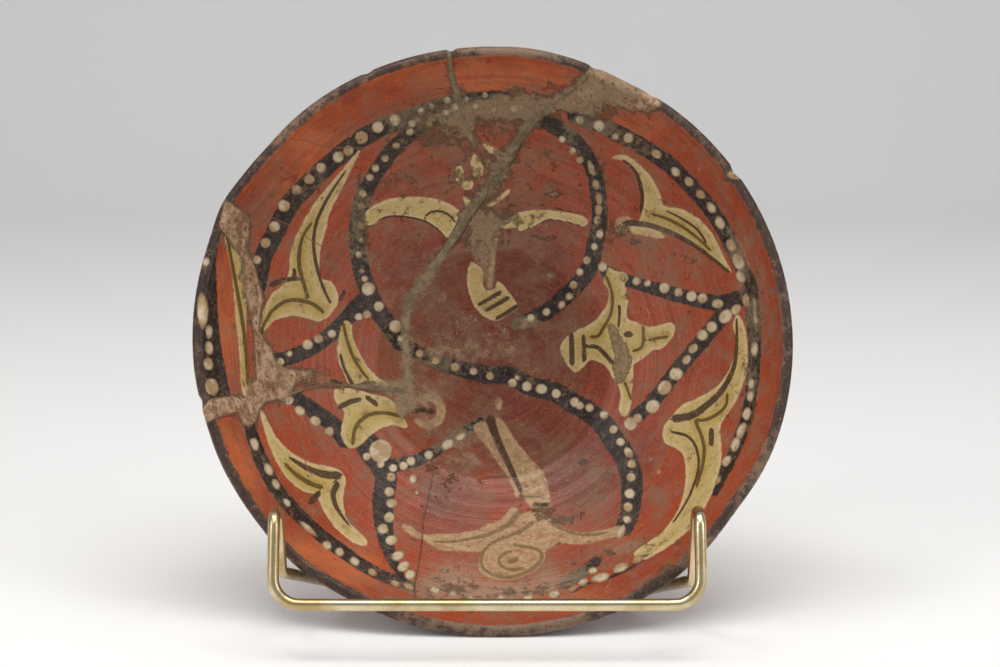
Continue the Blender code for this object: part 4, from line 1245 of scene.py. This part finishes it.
# Pits, dust, scratches, hairlines, the open crack and a painted shadow line along the main join go over all
# of the inside.
PIT = tone(50, 38, 30)
DUST = tone(186, 156, 124)
SCRATCH = tone(168, 132, 104)
HAIRLINE = tone(118, 84, 64)
CRACK_AND_SHADOW = tone(38, 30, 24)
HAIRLINE_SHARE = 0.66
color = pottery.tint(color, PIT, grain, 0.56, 0.68, most=0.50)
color = pottery.tint(color, DUST, grain, 0.43, 0.31, most=0.36)
scratch = pottery.math("SUBTRACT", pottery.noise(scale=55.0, detail=3.0, roughness=0.55), 0.5)
scratch = pottery.ramp(pottery.math("ABSOLUTE", scratch), 0.0035, 0.001, high=0.5)
color = pottery.mix(pottery.both(scratch, pottery.ramp(mottle, 0.50, 0.60)), color, SCRATCH)
color = pottery.mix(pottery.both(stroke("hair", 0.6, 3.2), HAIRLINE_SHARE), color, HAIRLINE)
# The open crack, and the painted shadow line along the main join.
crack_and_shadow_share = pottery.both(stroke("crack_and_shadow", 1.0, 3.0), pottery.ramp(nicks, 0.64, 0.46, 0.30, 0.64))
color = pottery.mix(crack_and_shadow_share, color, CRACK_AND_SHADOW)

# The outside is bare clay. Red slip has run down it from the lip, and the foot is paler.
UNDER_DARK = tone(142, 84, 58)
UNDER_LIGHT = tone(164, 110, 80)
UNDER_RINGS = tone(104, 62, 44)
UNDER_SOILED = tone(96, 76, 58)
RUN_SLIP = tone(122, 52, 34)
FOOT_LIGHT = tone(160, 126, 98)
FOOT_DARK = tone(118, 92, 70)
FOOT_PITS = tone(84, 64, 50)
RUN_SLIP_EDGE = (106.0, 108.0)
LIP_RUN_EDGE = (102.4, 103.2)
FOOT_BARE_EDGE = (46.0, 44.0)
under = pottery.mark("underside")
under_tone = pottery.tint(UNDER_DARK, UNDER_LIGHT, mottle, 0.32, 0.68)
under_tone = pottery.tint(under_tone, UNDER_RINGS, streaks, 0.50, 0.64, most=0.30)
under_tone = pottery.tint(under_tone, UNDER_SOILED, patches, 0.54, 0.68, most=0.65)
run_down = pottery.vary(pottery.add(from_axis, drift, 34.0), ragged, 8.0)
under_tone = pottery.tint(under_tone, RUN_SLIP, run_down, *RUN_SLIP_EDGE, most=0.85)
under_tone = pottery.tint(under_tone, lip_tone, lip_place, *LIP_RUN_EDGE, most=0.85)
foot_bare = pottery.ramp(pottery.add(from_axis, mottle, 3.0), *FOOT_BARE_EDGE)
foot_tone = pottery.tint(FOOT_LIGHT, FOOT_DARK, patches, 0.40, 0.64)
foot_tone = pottery.tint(foot_tone, FOOT_PITS, nicks, 0.58, 0.68, most=0.7)
under_tone = pottery.mix(foot_bare, under_tone, foot_tone)
pottery.set("Base Color", pottery.mix(under, color, under_tone))

# The gloss is best on clean maroon slip, and gone from filler, plaster, crust and foot.
SPECULAR = 0.34
rough = pottery.ramp(mottle, 0.30, 0.75, 0.36, 0.56)
rough = pottery.math("ADD", rough, pottery.ramp(streaks, 0.40, 0.62, -0.16, 0.20))
rough = pottery.add(rough, film_share, 0.30)
rough = pottery.add(rough, pottery.ramp(maroon_and_shade_share, 0.2, 0.7), -0.14)
matt = pottery.math("MAXIMUM", filler_share, plaster_share)
matt = pottery.math("MAXIMUM", matt, pottery.math("MAXIMUM", crust_share, foot_bare))
pottery.set("Roughness", pottery.add(rough, matt, 0.40))
pottery.set("Specular IOR Level", SPECULAR)
turning = pottery.both(streaks, pottery.ramp(under, 0.0, 1.0, 1.0, 0.35))
surface = pottery.bump(turning, strength=0.42, distance=0.0007)
surface = pottery.bump(grain, strength=0.22, distance=0.0003, normal=surface)
surface = pottery.bump(nicks, strength=0.35, distance=0.0003, normal=surface)
surface = pottery.bump(pottery.both(patches, matt), strength=0.9, distance=0.0016, normal=surface)
surface = pottery.bump(bead_share, strength=0.5, distance=0.0002, normal=surface)
pottery.set("Normal", surface)
bowl_mesh.materials.append(pottery.material)

# The stand. One length of 4 mm drawn brass wire bent to hooks, runners and a back rest, its
# lacquer gone dull and brown where hands and the bowl have rubbed it.
WIRE_SWELL = 0.00013
ANY_ANGLE = 3.0
BRASS_LIGHT = tone(214, 199, 161)
BRASS_DARK = tone(178, 155, 109)
BRASS_SPECK = tone(104, 80, 50)

wire_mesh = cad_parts["wire_stand"].data.copy()
wire_mesh.name = "bent_wire"
wire_skin = bmesh.new()
wire_skin.from_mesh(wire_mesh)
bmesh.ops.remove_doubles(wire_skin, verts=wire_skin.verts, dist=MICRON)
bmesh.ops.join_triangles(wire_skin, faces=wire_skin.faces, cmp_seam=False, cmp_sharp=False, cmp_uvs=False,
                         cmp_vcols=False, cmp_materials=False, angle_face_threshold=ANY_ANGLE,
                         angle_shape_threshold=ANY_ANGLE)
wire_skin.normal_update()
for vertex in wire_skin.verts:
    swollen = vertex.co + vertex.normal * WIRE_SWELL
    vertex.co = np.clip(swollen, solid_low, solid_high)
wire_skin.to_mesh(wire_mesh)
wire_skin.free()
wire_mesh.shade_smooth()
wire = bpy.data.objects.new("bent_wire", wire_mesh)
bpy.context.scene.collection.objects.link(wire)
rounding = wire.modifiers.new("Rounding", "SUBSURF")
rounding.levels = 1
rounding.render_levels = 1
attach(wire, "root")
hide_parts("wire_stand")

brass = Finish("aged_brass")
tarnish = brass.noise(scale=60.0, detail=4.0, roughness=0.6)
specks = brass.noise(scale=900.0, detail=3.0, roughness=0.6)
brass_color = brass.tint(BRASS_LIGHT, BRASS_DARK, tarnish, 0.40, 0.70)
brass_color = brass.tint(brass_color, BRASS_SPECK, specks, 0.66, 0.76, most=0.6)
brass.set("Base Color", brass_color)
brass.set("Metallic", 1.0)
brass.set("Roughness", brass.ramp(tarnish, 0.30, 0.70, 0.20, 0.34))
drawing = brass.noise(scale=700.0, detail=3.0, roughness=0.6)
brass.set("Normal", brass.bump(drawing, strength=0.06, distance=0.0002))
wire_mesh.materials.clear()
wire_mesh.materials.append(brass.material)

# The table. A plain pale painted sheet on which bowl and stand are set, flat under them and
# curved up behind.
TABLE_WIDTH = 6.0
TABLE_FRONT = -2.5
TABLE_BACK = 1.1
SWEEP_RADIUS = 0.7
SWEEP_STEPS = 24
BACK_HEIGHT = 3.0
TABLE_LIGHT = tone(246, 246, 245)
TABLE_DARK = tone(242, 241, 240)
TABLE_ROUGHNESS = 0.55

table_skin = bmesh.new()
front_left = table_skin.verts.new((-TABLE_WIDTH / 2, TABLE_FRONT, 0.0))
front_right = table_skin.verts.new((TABLE_WIDTH / 2, TABLE_FRONT, 0.0))
last_edge = [table_skin.edges.new((front_left, front_right))]


def carried_on(edges, move):
    """The table's last edge drawn on by a move."""
    made = bmesh.ops.extrude_edge_only(table_skin, edges=edges)["geom"]
    ends = [item for item in made if isinstance(item, bmesh.types.BMVert)]
    bmesh.ops.translate(table_skin, verts=ends, vec=move)
    return [item for item in made if isinstance(item, bmesh.types.BMEdge)
            and item.verts[0] in ends and item.verts[1] in ends]


last_edge = carried_on(last_edge, (0.0, TABLE_BACK - TABLE_FRONT, 0.0))
stride = SWEEP_RADIUS * math.pi / 2 / SWEEP_STEPS
for step in range(SWEEP_STEPS):
    turn = math.pi / 2 * (step + 0.5) / SWEEP_STEPS
    last_edge = carried_on(last_edge, (0.0, stride * math.cos(turn), stride * math.sin(turn)))
carried_on(last_edge, (0.0, 0.0, BACK_HEIGHT))
bmesh.ops.recalc_face_normals(table_skin, faces=table_skin.faces)
floor_mesh = bpy.data.meshes.new("table")
table_skin.to_mesh(floor_mesh)
table_skin.free()
floor_mesh.shade_smooth()
floor = bpy.data.objects.new("table", floor_mesh)
bpy.context.scene.collection.objects.link(floor)
paint = Finish("pale_table")
paint.set("Base Color", paint.mix(paint.noise(scale=3.0), TABLE_LIGHT, TABLE_DARK))
paint.set("Roughness", TABLE_ROUGHNESS)
floor_mesh.materials.append(paint.material)

# The light. Four soft panels, above, high, left and right, each given by its name, its place,
# what it faces, its two sides, its power and its tint, and a faint even light all round.
SOFT_PANELS = (
    ("panel_above", (0.15, -0.35, 1.25), (0.0, 0.0, 0.09), (1.1, 0.8), 10.5, (1.0, 0.98, 0.95)),
    ("panel_high", (-0.38, -0.08, 0.96), (0.03, 0.03, 0.04), (0.34, 0.22), 1.3, (1.0, 0.98, 0.97)),
    ("panel_left", (-0.95, -0.75, 0.65), (0.0, 0.0, 0.10), (0.6, 0.9), 4.5, (1.0, 0.99, 0.97)),
    ("panel_right", (1.00, -0.60, 0.55), (0.0, 0.0, 0.10), (0.5, 0.8), 3.2, (0.98, 0.99, 1.0)),
)
EVEN_LIGHT_COLOR = (0.80, 0.81, 0.83, 1.0)
EVEN_LIGHT_STRENGTH = 0.46


def soft_panel(name, place, target, size, power, tint):
    """A rectangular soft panel of light that faces a target."""
    light = bpy.data.lights.new(name, "AREA")
    light.shape = "RECTANGLE"
    light.size, light.size_y = size
    light.energy = power
    light.color = tint
    panel = bpy.data.objects.new(name, light)
    aim = Vector(target) - Vector(place)
    panel.location = place
    panel.rotation_euler = aim.to_track_quat("-Z", "Y").to_euler()
    bpy.context.scene.collection.objects.link(panel)


for panel in SOFT_PANELS:
    soft_panel(*panel)
world = bpy.data.worlds.new("studio")
world.use_nodes = True
background = world.node_tree.nodes["Background"]
background.inputs["Color"].default_value = EVEN_LIGHT_COLOR
background.inputs["Strength"].default_value = EVEN_LIGHT_STRENGTH
bpy.context.scene.world = world
bpy.context.scene.view_settings.view_transform = "Standard"
